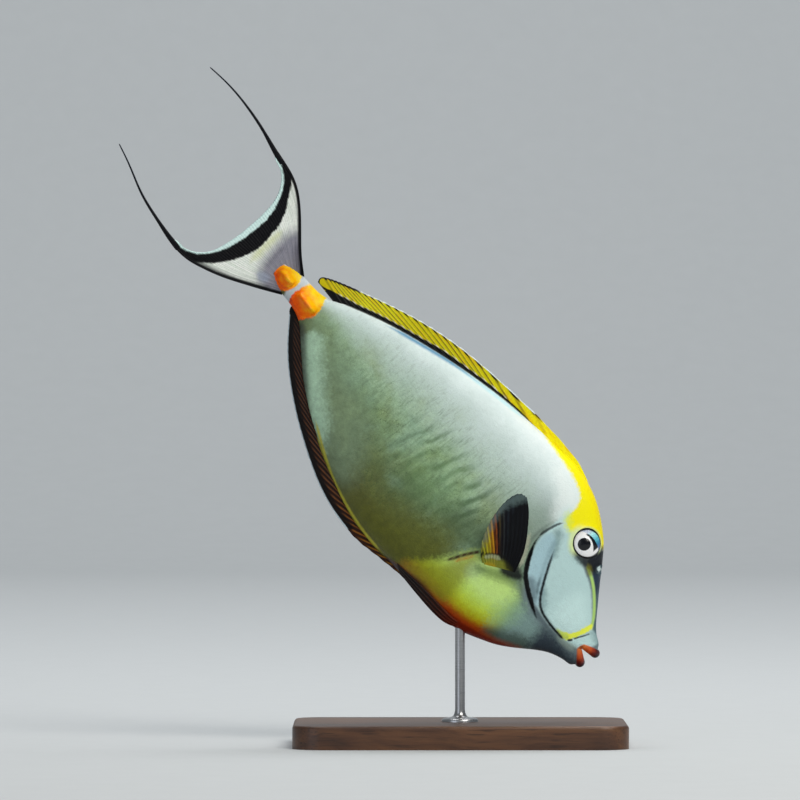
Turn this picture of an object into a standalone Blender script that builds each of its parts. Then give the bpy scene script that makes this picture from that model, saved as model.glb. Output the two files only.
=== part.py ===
"""An elegant unicornfish at life size, in a steep dive, held over a flat base by one short rod.

The fish is modelled in its own frame: x runs forward, y to its left and z to its back, with the
origin at the closed snout. "Behind" is the distance behind that point, so x = -behind. An empty
then tips the whole fish nose down and sets it over the stand.
"""

import math

import bpy
import numpy as np
from mathutils import Matrix, Vector

MM = 0.001
GAP = 0.3 * MM

# How the fish is held
DIVE_ANGLE = math.radians(50.6)
SNOUT_FORWARD = 78.6 * MM
SNOUT_HEIGHT = 55.2 * MM

# The body in mm: behind the snout, back, belly, half width, height where it is widest
BODY_STATIONS = (
    (-1.5, 4.4, -11.0, 2.9, -3.0),
    (3.0, 7.4, -13.5, 5.2, -3.0),
    (9.0, 11.4, -15.9, 7.0, -2.5),
    (18.0, 19.8, -20.7, 9.2, -2.0),
    (30.0, 31.8, -31.8, 12.0, -1.5),
    (42.0, 44.0, -41.6, 14.4, -1.0),
    (48.0, 49.0, -45.2, 15.6, -1.0),
    (60.0, 56.4, -51.6, 18.0, -1.0),
    (72.0, 61.5, -54.8, 20.2, -1.0),
    (90.0, 63.8, -56.3, 22.0, -1.0),
    (120.0, 60.4, -58.7, 22.2, -1.0),
    (156.0, 55.0, -58.2, 19.6, 0.0),
    (192.0, 45.5, -48.4, 15.4, 1.0),
    (228.0, 32.2, -33.4, 10.6, 1.5),
    (252.0, 20.2, -17.8, 7.0, 1.8),
    (264.0, 13.2, -9.8, 5.6, 1.8),
    (276.0, 10.4, -6.6, 4.6, 1.8),
    (288.0, 9.4, -6.0, 3.4, 1.7),
    (297.0, 6.4, -3.2, 1.4, 1.6),
)
# How pinched a section is towards the back and the belly: 1 is an ellipse, less is boxier
PINCH_STATIONS = (
    (-1.5, 0.90, 0.90),
    (20.0, 0.86, 0.95),
    (53.0, 0.66, 0.95),
    (80.0, 0.86, 0.92),
    (120.0, 1.02, 0.96),
    (180.0, 1.12, 1.12),
    (240.0, 1.10, 1.10),
    (297.0, 1.00, 1.00),
)
RING_POINTS = 28
HEAD_STEP, TRUNK_STEP, STALK_STEP = 3.8, 8.7, 4.3
HEAD_END, STALK_START = 84.0, 258.0

# Lines on the side of the fish, in mm, as (behind, height)
GILL_OPENING = (
    (74.4, 31.0), (74.2, 24.5), (73.2, 18.0), (71.0, 12.6), (66.6, 5.4),
    (61.0, -0.9), (53.4, -5.7), (45.0, -9.2), (34.0, -12.7),
)
PREOPERCLE = (
    (66.4, 29.0), (60.4, 18.8), (54.2, 9.2), (48.2, 0.8), (44.2, -3.6),
    (39.8, -6.4), (33.2, -7.8),
)
CHEEK_GROOVE = ((32.4, -7.9), (24.0, -8.1), (15.6, -7.4))
NECK_TOP = ((80.4, 80.0), (78.6, 60.0), (75.4, 38.0))
NECK_BOTTOM = ((31.6, -26.0), (30.6, -60.0))
GILL_COVER_TOP = (71.2, 32.6)
LINE_STEPS = 16
GILL_COVER_RAISE, GILL_COVER_DEPTH = 0.9, 2.0
GROOVE_WIDTH, GROOVE_DEPTH, GROOVE_STEPS = 0.7, 0.8, 6

# The mouth
MOUTH_CORNER = (7.2, -2.0)
MOUTH_REACH, MOUTH_TOP, MOUTH_FLOOR = 9.0, 2.4, -10.2
LIP_HALF_WIDTH = 6.3
UPPER_LIP = {"tip": (-2.0, 2.3), "corner": (8.2, -0.9), "tip_radius": 2.2, "corner_radius": 1.25}
LOWER_LIP = {"tip": (-0.3, -8.9), "corner": (8.7, -3.9), "tip_radius": 2.5, "corner_radius": 1.35}
LIP_STEPS, LIP_SIDES, LIP_FADE, LIP_END = 16, 10, 0.8, 0.62

# The eye, its rim and the two nostrils of each side
EYE_AT = (52.8, 39.8)
EYE_RADIUS, EYE_HALF_DEPTH, EYE_SINK = 8.8, 5.0, 2.2
EYE_TILT = math.radians(14)
EYE_SEGMENTS, EYE_RINGS = 18, 8
ORBIT_RADIUS, ORBIT_THICKNESS, ORBIT_SINK, ORBIT_SEGMENTS = 8.5, 1.0, 0.2, 24
NOSTRILS = ((36.9, 36.9, 1.25), (33.8, 33.9, 0.95))
NOSTRIL_RIM, NOSTRIL_DEPTH, NOSTRIL_SEGMENTS, RIM_SIDES = 0.5, 1.6, 10, 6

# Fins in mm: outlines are (behind, height), and rays are counted with the spines
DORSAL_BASE = (81.0, 259.0)
DORSAL_MARGIN = (
    (86.0, 65.4), (93.0, 66.8), (102.0, 67.2), (114.0, 66.8), (132.0, 65.5), (150.0, 63.3),
    (168.0, 60.6), (186.0, 57.3), (204.0, 52.6), (222.0, 46.4), (240.0, 38.6), (258.0, 29.8),
    (270.0, 23.4), (276.6, 18.2),
)
DORSAL_RAYS, DORSAL_ROWS = 34, 2
ANAL_BASE = (121.0, 263.0)
ANAL_MARGIN = (
    (127.0, -62.2), (138.0, -64.9), (150.0, -66.0), (165.0, -65.2), (183.0, -61.6), (201.0, -55.4),
    (219.0, -47.8), (237.0, -38.4), (252.0, -28.7), (264.0, -18.6), (274.8, -8.6),
)
ANAL_RAYS, ANAL_ROWS = 31, 2
FIN_ROOT_HALF, FIN_EDGE_HALF, MEMBRANE_SHARE = 1.15, 0.42, 0.62

TAIL_FOCUS = (271.5, 1.8)
TAIL_ROOT_RADIUS, TAIL_SPREAD = 15.0, math.radians(35.5)
TAIL_FORK = 326.4
TAIL_RAYS, TAIL_ROWS = 9, 9
TAIL_ROOT_HALF, TAIL_EDGE_HALF = 1.9, 0.45
UPPER_MARGIN = (
    (294.0, 17.0), (306.0, 26.4), (318.0, 35.6), (327.0, 40.9), (336.0, 43.9), (345.0, 45.2),
    (351.0, 45.9),
)
UPPER_FORK = (
    (326.6, 8.0), (327.4, 18.0), (331.0, 30.0), (336.0, 36.4), (343.0, 40.4), (350.4, 42.4),
    (351.0, 43.0), (351.0, 45.9),
)
UPPER_STREAMER = ((351.0, 44.2), (366.0, 46.8), (384.0, 48.6), (402.0, 48.4), (417.0, 46.4))
LOWER_MARGIN = (
    (291.0, -12.2), (303.0, -20.4), (315.0, -28.0), (327.0, -34.0), (336.0, -37.4), (345.0, -38.7),
    (351.0, -38.6),
)
LOWER_FORK = (
    (326.6, -5.0), (327.6, -14.0), (330.6, -24.4), (336.0, -31.0), (343.0, -34.4), (350.4, -35.7),
    (351.0, -36.3), (351.0, -38.6),
)
LOWER_STREAMER = ((351.0, -37.2), (366.0, -36.0), (384.0, -33.4), (402.0, -28.2), (416.0, -24.8))
STREAMER_ROOT, STREAMER_TIP = (1.55, 0.6), (0.32, 0.3)
STREAMER_STEPS, STREAMER_SIDES = 14, 8

PECTORAL_ROOT = ((67.0, -4.6), (82.6, -16.4))
PECTORAL_LEADING = ((73.4, 7.6), (82.6, 18.0), (92.4, 26.4), (97.6, 29.4))
PECTORAL_MARGIN = (
    (97.6, 29.4), (101.6, 28.0), (103.8, 22.6), (103.4, 14.6), (100.8, 5.0), (96.4, -4.2),
    (91.4, -11.0), (87.0, -14.6),
)
PECTORAL_RAYS, PECTORAL_ROWS = 15, 4
PECTORAL_SWING, PECTORAL_CUP = math.radians(33), 0.0032
PECTORAL_SUNK = 5.0
PECTORAL_ROOT_HALF, PECTORAL_EDGE_HALF = 1.3, 0.4

PELVIC_START, PELVIC_END = 63.0, 116.0
PELVIC_OUTER, PELVIC_INNER = (9.4, 4.2), (2.4, -1.9)
PELVIC_RAYS, PELVIC_ROWS = 4, 8
PELVIC_ROOT_HALF, PELVIC_EDGE_HALF = 0.9, 0.4

# The two bony plates and keels on each side of the tail stalk, in mm
FRONT_KEEL = {"at": (270.6, 1.4), "half": (8.4, 8.6), "blade": 6.2}
REAR_KEEL = {"at": (290.2, 2.0), "half": (6.6, 5.4), "blade": 5.2}
KEEL_PLATE, KEEL_HOOK, KEEL_EDGE = 0.9, 0.55, 1.5
KEEL_COLUMNS, KEEL_ROWS = 10, 7

# The stand in mm
BASE_SIZE = (200.0, 120.0, 14.0)
BASE_CORNER, BASE_BEVEL, BASE_CORNER_STEPS = 18.0, 2.0, 5
ROD_RADIUS, ROD_SIDES = 3.0, 20
ROD_FLANGE = ((11.0, 0.0), (11.0, 1.8), (9.6, 2.6), (4.4, 3.2), (3.4, 4.6), (3.0, 7.0))
ROD_TOP = 90.0


def natural_spline(stations):
    """A smooth function of the first column that gives the other columns."""
    table = np.array(stations, float)
    knots, values = table[:, 0], table[:, 1:]
    step = np.diff(knots)
    count = len(knots)
    system = np.eye(count)
    right = np.zeros_like(values)
    for i in range(1, count - 1):
        system[i, i - 1: i + 2] = step[i - 1], 2 * (step[i - 1] + step[i]), step[i]
        slope_after = (values[i + 1] - values[i]) / step[i]
        slope_before = (values[i] - values[i - 1]) / step[i - 1]
        right[i] = 6 * (slope_after - slope_before)
    bend = np.linalg.solve(system, right)

    def at(x):
        x = min(max(x, knots[0]), knots[-1])
        i = min(int(np.searchsorted(knots, x, side="right")) - 1, count - 2)
        after, before = x - knots[i], knots[i + 1] - x
        curve = (bend[i] * before**3 + bend[i + 1] * after**3) / (6 * step[i])
        line_start = (values[i] / step[i] - bend[i] * step[i] / 6) * before
        line_end = (values[i + 1] / step[i] - bend[i + 1] * step[i] / 6) * after
        return curve + line_start + line_end

    return at


def path_through(points):
    """A smooth path through the points, as a function of the share of its length."""
    table = np.array(points, float)
    lengths = np.linalg.norm(np.diff(table, axis=0), axis=1)
    share = np.concatenate([[0.0], np.cumsum(lengths)]) / lengths.sum()
    return natural_spline(np.column_stack([share, table]))


body_at = natural_spline(BODY_STATIONS)
pinch_at = natural_spline(PINCH_STATIONS)


def body_section(behind, grow=0.0):
    """Back, belly, half width and widest height of the body there, grown all round, in mm."""
    back, belly, half, widest = body_at(behind)
    return back + grow, belly - grow, half + grow, widest


def body_point(behind, turn, grow=0.0):
    """(side, height) of the skin at an angle round the section, from 0 at the left side up."""
    back, belly, half, widest = body_section(behind, grow)
    pinch_back, pinch_belly = pinch_at(behind)
    upper = math.sin(turn) >= 0
    pinch = pinch_back if upper else pinch_belly
    reach = back - widest if upper else widest - belly
    width = abs(math.cos(turn)) ** pinch
    return math.copysign(half * width, math.cos(turn)), widest + reach * math.sin(turn)


def skin_side(behind, height, grow=0.0):
    """How far the skin stands out sideways at that place, in mm."""
    back, belly, half, widest = body_section(behind, grow)
    pinch_back, pinch_belly = pinch_at(behind)
    upper = height > widest
    reach = back - widest if upper else belly - widest
    share = min(abs((height - widest) / reach), 1.0)
    return half * math.sqrt(1 - share * share) ** (pinch_back if upper else pinch_belly)


def fish_vector(behind, side, height):
    """A place in the fish's frame, in metres, from mm behind the snout, to the left and up."""
    return Vector((-behind * MM, side * MM, height * MM))


def make_object(name, vertices, faces, material=None, smooth=True):
    """An object in the scene from vertices and faces."""
    mesh = bpy.data.meshes.new(name)
    mesh.from_pydata([tuple(v) for v in vertices], [], [tuple(f) for f in faces])
    mesh.validate()
    obj = bpy.data.objects.new(name, mesh)
    bpy.context.scene.collection.objects.link(obj)
    if material:
        mesh.materials.append(material)
    if smooth:
        mesh.shade_smooth()
        mesh.set_sharp_from_angle(angle=math.radians(40))
    return obj


def make_material(name, colour, roughness, metallic=0.0):
    """A plain Principled material."""
    material = bpy.data.materials.new(name)
    material.use_nodes = True
    shader = material.node_tree.nodes["Principled BSDF"]
    shader.inputs["Base Color"].default_value = (*colour, 1.0)
    shader.inputs["Roughness"].default_value = roughness
    shader.inputs["Metallic"].default_value = metallic
    material.diffuse_color = (*colour, 1.0)
    return material


def take_mesh(obj):
    """Replaces an object's mesh by the one its modifiers give, and clears the modifiers."""
    graph = bpy.context.evaluated_depsgraph_get()
    made = bpy.data.meshes.new_from_object(obj.evaluated_get(graph))
    obj.modifiers.clear()
    obj.data = made


def combine(target, cutter, operation, keep_cutter=False, solver="EXACT"):
    """Applies one Boolean of two closed objects to the target."""
    boolean = target.modifiers.new("combine", "BOOLEAN")
    boolean.operation = operation
    boolean.solver = solver
    boolean.object = cutter
    take_mesh(target)
    if not keep_cutter:
        bpy.data.objects.remove(cutter)
    return target


def unite(name, pieces, material):
    """One object from closed pieces that overlap."""
    group = bpy.data.collections.new(name + "_pieces")
    bpy.context.scene.collection.children.link(group)
    for piece in pieces[1:]:
        bpy.context.scene.collection.objects.unlink(piece)
        group.objects.link(piece)
    target = pieces[0]
    boolean = target.modifiers.new("union", "BOOLEAN")
    boolean.operation = "UNION"
    boolean.operand_type = "COLLECTION"
    boolean.solver = "MANIFOLD"
    boolean.collection = group
    take_mesh(target)
    for piece in pieces[1:]:
        bpy.data.objects.remove(piece)
    bpy.data.collections.remove(group)
    target.name = name
    target.data.materials.clear()
    target.data.materials.append(material)
    return target


def keep_largest(obj):
    """Keeps only the closed surface that holds the most volume."""
    mesh = obj.data
    mesh.calc_loop_triangles()
    points = np.array([v.co for v in mesh.vertices])
    parent = list(range(len(mesh.vertices)))

    def root(i):
        while parent[i] != i:
            parent[i] = parent[parent[i]]
            i = parent[i]
        return i

    for edge in mesh.edges:
        parent[root(edge.vertices[0])] = root(edge.vertices[1])
    volumes = {}
    for triangle in mesh.loop_triangles:
        a, b, c = points[list(triangle.vertices)]
        island = root(triangle.vertices[0])
        volumes[island] = volumes.get(island, 0.0) + np.dot(a, np.cross(b, c)) / 6
    largest = max(volumes, key=volumes.get)
    keep = {i for i in range(len(points)) if root(i) == largest}
    order = {old: new for new, old in enumerate(sorted(keep))}
    faces = [[order[i] for i in p.vertices] for p in mesh.polygons if p.vertices[0] in keep]
    material = mesh.materials[0] if mesh.materials else None
    made = make_object("kept", [points[i] for i in sorted(keep)], faces, material)
    obj.data = made.data
    obj.data.name = obj.name
    bpy.data.objects.remove(made)
    return obj


def mirrored(obj, name):
    """The same piece on the fish's other side."""
    faces = [list(reversed(p.vertices)) for p in obj.data.polygons]
    vertices = [(v.co.x, -v.co.y, v.co.z) for v in obj.data.vertices]
    return make_object(name, vertices, faces, obj.data.materials[0])


def loft(rings, close_ends=True):
    """Vertices and faces of a surface through rings that have the same number of points."""
    count = len(rings[0])
    vertices = [point for ring in rings for point in ring]
    faces = []
    for i in range(len(rings) - 1):
        for j in range(count):
            k = (j + 1) % count
            a, b = i * count, (i + 1) * count
            faces.append((a + j, b + j, b + k, a + k))
    if close_ends:
        last = (len(rings) - 1) * count
        faces.append(tuple(range(count)))
        faces.append(tuple(last + j for j in reversed(range(count))))
    return vertices, faces


def body_distances():
    """The distances behind the snout at which the body has a ring, closest on the head."""
    start, end = BODY_STATIONS[0][0], BODY_STATIONS[-1][0]
    stretches = ((start, HEAD_END, HEAD_STEP), (HEAD_END, STALK_START, TRUNK_STEP),
                 (STALK_START, end, STALK_STEP))
    found = [start]
    for low, high, step in stretches:
        count = round((high - low) / step)
        found += [low + (high - low) * (i + 1) / count for i in range(count)]
    return found


def body_form(name, grow=0.0):
    """The whole body from snout to tail root as one closed object, grown all round."""
    rings = []
    distances = body_distances()
    for behind in distances:
        shift = -grow if behind == distances[0] else grow if behind == distances[-1] else 0.0
        ring = []
        for j in range(RING_POINTS):
            turn = 2 * math.pi * j / RING_POINTS + math.pi / 2
            side, height = body_point(behind, turn, grow)
            ring.append(fish_vector(behind + shift, side, height))
        rings.append(ring)
    return outward(make_object(name, *loft(rings)))


def prism(name, outline, low_side, high_side):
    """A closed outline in the side view, drawn out across the fish."""
    rings = [[fish_vector(b, side, h) for b, h in outline] for side in (low_side, high_side)]
    return outward(make_object(name, *loft(rings), smooth=False))


def smooth_line(points, steps=LINE_STEPS):
    """The points of a smooth line through those given."""
    path = path_through(points)
    return [tuple(path(i / steps)) for i in range(steps + 1)]


def offset_line(line, distance):
    """The line moved sideways, to the left of its own direction."""
    points = np.array(line, float)
    before = np.vstack([points[1] - points[0], np.diff(points, axis=0)])
    after = np.vstack([np.diff(points, axis=0), points[-1] - points[-2]])
    along = before / np.linalg.norm(before, axis=1)[:, None]
    along += after / np.linalg.norm(after, axis=1)[:, None]
    along /= np.linalg.norm(along, axis=1)[:, None]
    return [tuple(p) for p in points + distance * np.column_stack([-along[:, 1], along[:, 0]])]


def strip_outline(line, width):
    """The outline of a band of that width along a line."""
    return offset_line(line, width / 2) + offset_line(line, -width / 2)[::-1]


def grown(outline, distance):
    """A closed outline grown by a distance on every side."""
    points = np.array(outline, float)
    area = np.sum(points[:, 0] * np.roll(points[:, 1], -1) - np.roll(points[:, 0], -1) * points[:, 1])
    along = np.roll(points, -1, axis=0) - points
    along /= np.linalg.norm(along, axis=1)[:, None]
    away = np.column_stack([along[:, 1], -along[:, 0]]) * np.sign(area)
    both = away + np.roll(away, 1, axis=0)
    reach = 2 * distance / np.maximum(np.sum(both * both, axis=1), 1.0)
    return [tuple(p) for p in points + both * reach[:, None]]


def gill_cover_outline():
    """The gill cover, between the preopercle and the gill opening."""
    rear = offset_line(smooth_line(GILL_OPENING), -GAP / MM)
    return smooth_line(PREOPERCLE)[::-1] + [GILL_COVER_TOP] + rear


def neck_line():
    """The line that parts the head from the trunk: nape, gill opening, throat."""
    return list(NECK_TOP) + smooth_line(GILL_OPENING) + list(NECK_BOTTOM)


def grid_solid(name, sheet, half, normal, material):
    """A closed sheet from sheet[i][j] mid points, half thicknesses and a normal for each."""
    columns, rows = len(sheet), len(sheet[0])
    vertices = []
    for sign in (1, -1):
        for i in range(columns):
            for j in range(rows):
                vertices.append(sheet[i][j] + sign * half[i][j] * normal[i][j])
    other = columns * rows
    faces = []

    def spot(i, j):
        return i * rows + j

    for i in range(columns - 1):
        for j in range(rows - 1):
            a, b, c, d = spot(i, j), spot(i + 1, j), spot(i + 1, j + 1), spot(i, j + 1)
            faces += [(a, b, c), (a, c, d)]
            faces += [(other + c, other + b, other + a), (other + d, other + c, other + a)]
    rim = [spot(i, 0) for i in range(columns)]
    rim += [spot(columns - 1, j) for j in range(1, rows)]
    rim += [spot(i, rows - 1) for i in range(columns - 2, -1, -1)]
    rim += [spot(0, j) for j in range(rows - 2, 0, -1)]
    for a, b in zip(rim, rim[1:] + rim[:1]):
        faces += [(b, a, other + a), (b, other + a, other + b)]
    return make_object(name, vertices, faces, material)


def outward(obj):
    """Turns a closed object's faces round where they point inwards."""
    mesh = obj.data
    mesh.calc_loop_triangles()
    points = np.array([v.co for v in mesh.vertices])
    corners = points[np.array([t.vertices for t in mesh.loop_triangles])]
    volume = np.einsum("ij,ij->i", corners[:, 0], np.cross(corners[:, 1], corners[:, 2])).sum()
    if volume < 0:
        mesh.flip_normals()
    return obj


def ray_share(column):
    """How thick a fin is at a column: full on a ray, less on the membrane between two rays."""
    return 1.0 if column % 2 == 0 else MEMBRANE_SHARE


def upright_fin(name, base, margin, rays, rows, root_half, edge_half, material):
    """A fin in the fish's middle plane. base and margin give (behind, height) for a share."""
    columns = 2 * (rays - 1) + 1
    sheet, half, normal = [], [], []
    for i in range(columns):
        share = i / (columns - 1)
        root, tip = np.array(base(share)), np.array(margin(share))
        line = [root + (tip - root) * j / rows for j in range(rows + 1)]
        sheet.append([fish_vector(b, 0.0, h) for b, h in line])
        thin = [root_half + (edge_half - root_half) * (j / rows) ** 0.7 for j in range(rows + 1)]
        half.append([t * MM * ray_share(i) for t in thin])
        normal.append([Vector((0, 1, 0))] * (rows + 1))
    return outward(grid_solid(name, sheet, half, normal, material))


def dorsal_fin(material):
    """The long low fin along the back, its rays laid back."""
    start, end = DORSAL_BASE

    def base(share):
        behind = start + (end - start) * share
        return behind, body_section(behind)[0] + GAP / MM

    margin = path_through(DORSAL_MARGIN)
    return upright_fin("dorsal_fin", base, margin, DORSAL_RAYS, DORSAL_ROWS,
                       FIN_ROOT_HALF, FIN_EDGE_HALF, material)


def anal_fin(material):
    """The long low fin under the rear half of the body."""
    start, end = ANAL_BASE

    def base(share):
        behind = start + (end - start) * share
        return behind, body_section(behind)[1] - GAP / MM

    margin = path_through(ANAL_MARGIN)
    return upright_fin("anal_fin", base, margin, ANAL_RAYS, ANAL_ROWS,
                       FIN_ROOT_HALF, FIN_EDGE_HALF, material)


def tail_lobe(name, margin_points, fork_points, sign, body, material):
    """Half of the tail fin, from the middle ray out to the streamer's root, cut to the stalk."""
    focus = np.array(TAIL_FOCUS)

    def root_at(share):
        angle = sign * TAIL_SPREAD * share
        return focus + TAIL_ROOT_RADIUS * np.array([math.cos(angle), math.sin(angle)])

    middle = np.array([TAIL_FORK, TAIL_FOCUS[1] + sign * GAP / MM / 2])
    middle_root = root_at(0.0) + np.array([0.0, sign * GAP / MM / 2])
    outer = path_through((tuple(root_at(1.0)),) + tuple(margin_points))
    fork = path_through((tuple(middle),) + tuple(fork_points))
    columns = 2 * (TAIL_RAYS - 1) + 1
    sheet, half, normal = [], [], []
    corner = np.array(fork(1.0))
    for i in range(columns):
        across = i / (columns - 1)
        line, thick = [], []
        for j in range(TAIL_ROWS + 1):
            along = j / TAIL_ROWS
            start = middle_root if i == 0 else root_at(across)
            inner_edge = middle_root + (middle - middle_root) * along
            outer_edge = np.array(outer(along))
            sides = (1 - across) * inner_edge + across * outer_edge
            ends = (1 - along) * start + along * np.array(fork(across))
            corners = (1 - across) * ((1 - along) * middle_root + along * middle)
            corners = corners + across * ((1 - along) * root_at(1.0) + along * corner)
            behind, height = sides + ends - corners
            line.append(fish_vector(behind, 0.0, height))
            taper = TAIL_ROOT_HALF + (TAIL_EDGE_HALF - TAIL_ROOT_HALF) * along**0.5
            thick.append(taper * MM * ray_share(i))
        sheet.append(line)
        half.append(thick)
        normal.append([Vector((0, 1, 0))] * (TAIL_ROWS + 1))
    lobe = outward(grid_solid(name, sheet, half, normal, material))
    return keep_largest(combine(lobe, body, "DIFFERENCE", keep_cutter=True))


def streamer(name, points, material):
    """The long thread at the tip of a tail lobe."""
    path = path_through(points)
    rings = []
    for i in range(STREAMER_STEPS + 1):
        share = i / STREAMER_STEPS
        behind, height = path(share)
        ahead = np.array(path(min(share + 0.02, 1.0))) - np.array(path(max(share - 0.02, 0.0)))
        across = np.array([-ahead[1], ahead[0]]) / np.linalg.norm(ahead)
        tall = STREAMER_ROOT[0] + (STREAMER_TIP[0] - STREAMER_ROOT[0]) * share**0.7
        wide = STREAMER_ROOT[1] + (STREAMER_TIP[1] - STREAMER_ROOT[1]) * share
        shift = GAP / MM if i == 0 else 0.0
        ring = []
        for j in range(STREAMER_SIDES):
            turn = 2 * math.pi * j / STREAMER_SIDES
            place = np.array([behind + shift, height]) + across * tall * math.sin(turn)
            ring.append(fish_vector(place[0], wide * math.cos(turn), place[1]))
        rings.append(ring)
    return outward(make_object(name, *loft(rings), material))


def pectoral_fin(name, body, material):
    """The right breast fin, fanned out and swung away from the flank, cut to the skin."""
    low, high = (np.array(p) for p in PECTORAL_ROOT)
    base_line = high - low
    base_line /= np.linalg.norm(base_line)
    upward = np.array([-base_line[1], base_line[0]])
    if upward[1] < 0:
        upward = -upward
    leading = path_through((tuple(low),) + PECTORAL_LEADING)
    margin = path_through(PECTORAL_MARGIN)
    side_low = skin_side(*low)
    side_high = skin_side(*high)
    columns = 2 * (PECTORAL_RAYS - 1) + 1
    tangent = Vector((-base_line[0], 0, base_line[1]))
    ray = Vector((-upward[0], -math.tan(PECTORAL_SWING), upward[1]))
    flat_normal = tangent.cross(ray).normalized()
    sheet, half, normal = [], [], []
    for i in range(columns):
        share = i / (columns - 1)
        root = low + (high - low) * share
        tip = np.array(margin(share))
        root_side = side_low + (side_high - side_low) * share
        line, thick = [], []
        for j in range(-1, PECTORAL_ROWS + 1):
            along = max(j, 0) / PECTORAL_ROWS
            place = root + (tip - root) * along
            if share < 1:
                bow = np.array(leading(along)) - (low + (np.array(margin(0.0)) - low) * along)
                place = place + bow * (1 - share) ** 2
            if j < 0:
                place = root - upward * PECTORAL_SUNK
            reach = float(np.dot(place - root, upward))
            out = root_side + reach * math.tan(PECTORAL_SWING) - PECTORAL_CUP * max(reach, 0) ** 2
            line.append(fish_vector(place[0], -out, place[1]))
            taper = (along**0.6) if j > 0 else 0.0
            full = PECTORAL_ROOT_HALF + (PECTORAL_EDGE_HALF - PECTORAL_ROOT_HALF) * taper
            thick.append(full * MM * ray_share(i))
        sheet.append(line)
        half.append(thick)
        normal.append([flat_normal] * (PECTORAL_ROWS + 2))
    fin = outward(grid_solid(name, sheet, half, normal, material))
    return keep_largest(combine(fin, body, "DIFFERENCE", keep_cutter=True))


def pelvic_fin(name, body, material):
    """The right belly fin, folded back beside the belly's keel, cut to the skin."""
    columns = 2 * (PELVIC_RAYS - 1) + 1
    sheet, half, normal = [], [], []
    outer_side, outer_drop = PELVIC_OUTER
    inner_side, inner_drop = PELVIC_INNER
    blade_normal = Vector((0, outer_drop - inner_drop, outer_side - inner_side)).normalized()
    for i in range(columns):
        share = i / (columns - 1)
        line, thick = [], []
        for j in range(PELVIC_ROWS + 1):
            along = j / PELVIC_ROWS
            spread = math.sin(math.pi * (0.12 + 0.78 * along**0.8)) ** 0.7
            middle = 0.45
            place = middle + (share - middle) * spread
            end = PELVIC_END - 5.0 * share
            behind = PELVIC_START + (end - PELVIC_START) * along
            belly = body_section(behind)[1]
            sink = 1.6 * (1 - min(along / 0.2, 1.0)) ** 2
            side = outer_side + (inner_side - outer_side) * place - sink
            height = belly + outer_drop + (inner_drop - outer_drop) * place + sink
            line.append(fish_vector(behind, -side, height))
            full = PELVIC_ROOT_HALF + (PELVIC_EDGE_HALF - PELVIC_ROOT_HALF) * along
            thick.append(full * MM * ray_share(i))
        sheet.append(line)
        half.append(thick)
        normal.append([blade_normal] * (PELVIC_ROWS + 1))
    fin = outward(grid_solid(name, sheet, half, normal, material))
    return keep_largest(combine(fin, body, "DIFFERENCE", keep_cutter=True))


def lip(name, shape, material, grow=0.0):
    """A lip: a tapered roll round one jaw from mouth corner to mouth corner."""
    tip, corner = np.array(shape["tip"]), np.array(shape["corner"])
    rings = []
    for i in range(-1, LIP_STEPS + 2):
        turn = math.pi * (min(max(i, 0), LIP_STEPS) / LIP_STEPS - 0.5)
        back = 1 - math.cos(turn)
        behind, height = tip + (corner - tip) * back
        side = LIP_HALF_WIDTH * math.sin(turn)
        slope = (corner - tip) * math.sin(turn)
        along = Vector((-slope[0], LIP_HALF_WIDTH * math.cos(turn), slope[1])).normalized()
        up = Vector((0, 0, 1))
        out = along.cross(up).normalized()
        up = out.cross(along).normalized()
        fade = back**LIP_FADE
        radius = shape["tip_radius"] + (shape["corner_radius"] - shape["tip_radius"]) * fade + grow
        centre = fish_vector(behind, side, height)
        if i in (-1, LIP_STEPS + 1):
            centre = centre + along * (radius * MM * LIP_END if i > 0 else -radius * MM * LIP_END)
            radius *= LIP_END
        ring = []
        for j in range(LIP_SIDES):
            angle = 2 * math.pi * j / LIP_SIDES
            ring.append(centre + (out * math.cos(angle) + up * math.sin(angle)) * radius * MM)
        rings.append(ring)
    return outward(make_object(name, *loft(rings), material))


def eye_frame(sign):
    """Where an eye's middle is, and the turn that points +z along its axis, for one side."""
    behind, height = EYE_AT
    side = skin_side(behind, height)
    axis = Vector((0.08, sign * math.cos(EYE_TILT), math.sin(EYE_TILT))).normalized()
    surface = fish_vector(behind, sign * side, height)
    turn = axis.to_track_quat("Z", "Y").to_matrix().to_4x4()
    return surface, axis, turn


def dome(name, radius, half_depth, place, turn, material=None):
    """A ball flattened along its own z axis."""
    rings = []
    for i in range(1, EYE_RINGS):
        tip = math.pi * i / EYE_RINGS
        level, wide = half_depth * math.cos(tip), radius * math.sin(tip)
        ring = []
        for j in range(EYE_SEGMENTS):
            angle = 2 * math.pi * j / EYE_SEGMENTS
            local = Vector((wide * math.cos(angle), wide * math.sin(angle), level)) * MM
            ring.append(place + turn @ local)
        rings.append(ring)
    vertices, faces = loft(rings, close_ends=False)
    top, bottom = len(vertices), len(vertices) + 1
    vertices += [place + turn @ Vector((0, 0, half_depth * MM)),
                 place + turn @ Vector((0, 0, -half_depth * MM))]
    last = (EYE_RINGS - 2) * EYE_SEGMENTS
    for j in range(EYE_SEGMENTS):
        k = (j + 1) % EYE_SEGMENTS
        faces += [(j, k, top), (last + k, last + j, bottom)]
    return outward(make_object(name, vertices, faces, material))


def ring_form(name, radius, thickness, place, turn, segments, sides):
    """A plain ring about a place, in the plane across the turned z axis."""
    vertices, faces = [], []
    for i in range(segments):
        angle = 2 * math.pi * i / segments
        for j in range(sides):
            around = 2 * math.pi * j / sides
            reach = radius + thickness * math.cos(around)
            local = Vector((reach * math.cos(angle), reach * math.sin(angle),
                            thickness * math.sin(around))) * MM
            vertices.append(place + turn @ local)
    for i in range(segments):
        for j in range(sides):
            a, b = i * sides, (i + 1) % segments * sides
            k = (j + 1) % sides
            faces.append((a + j, b + j, b + k, a + k))
    return outward(make_object(name, vertices, faces))


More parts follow.
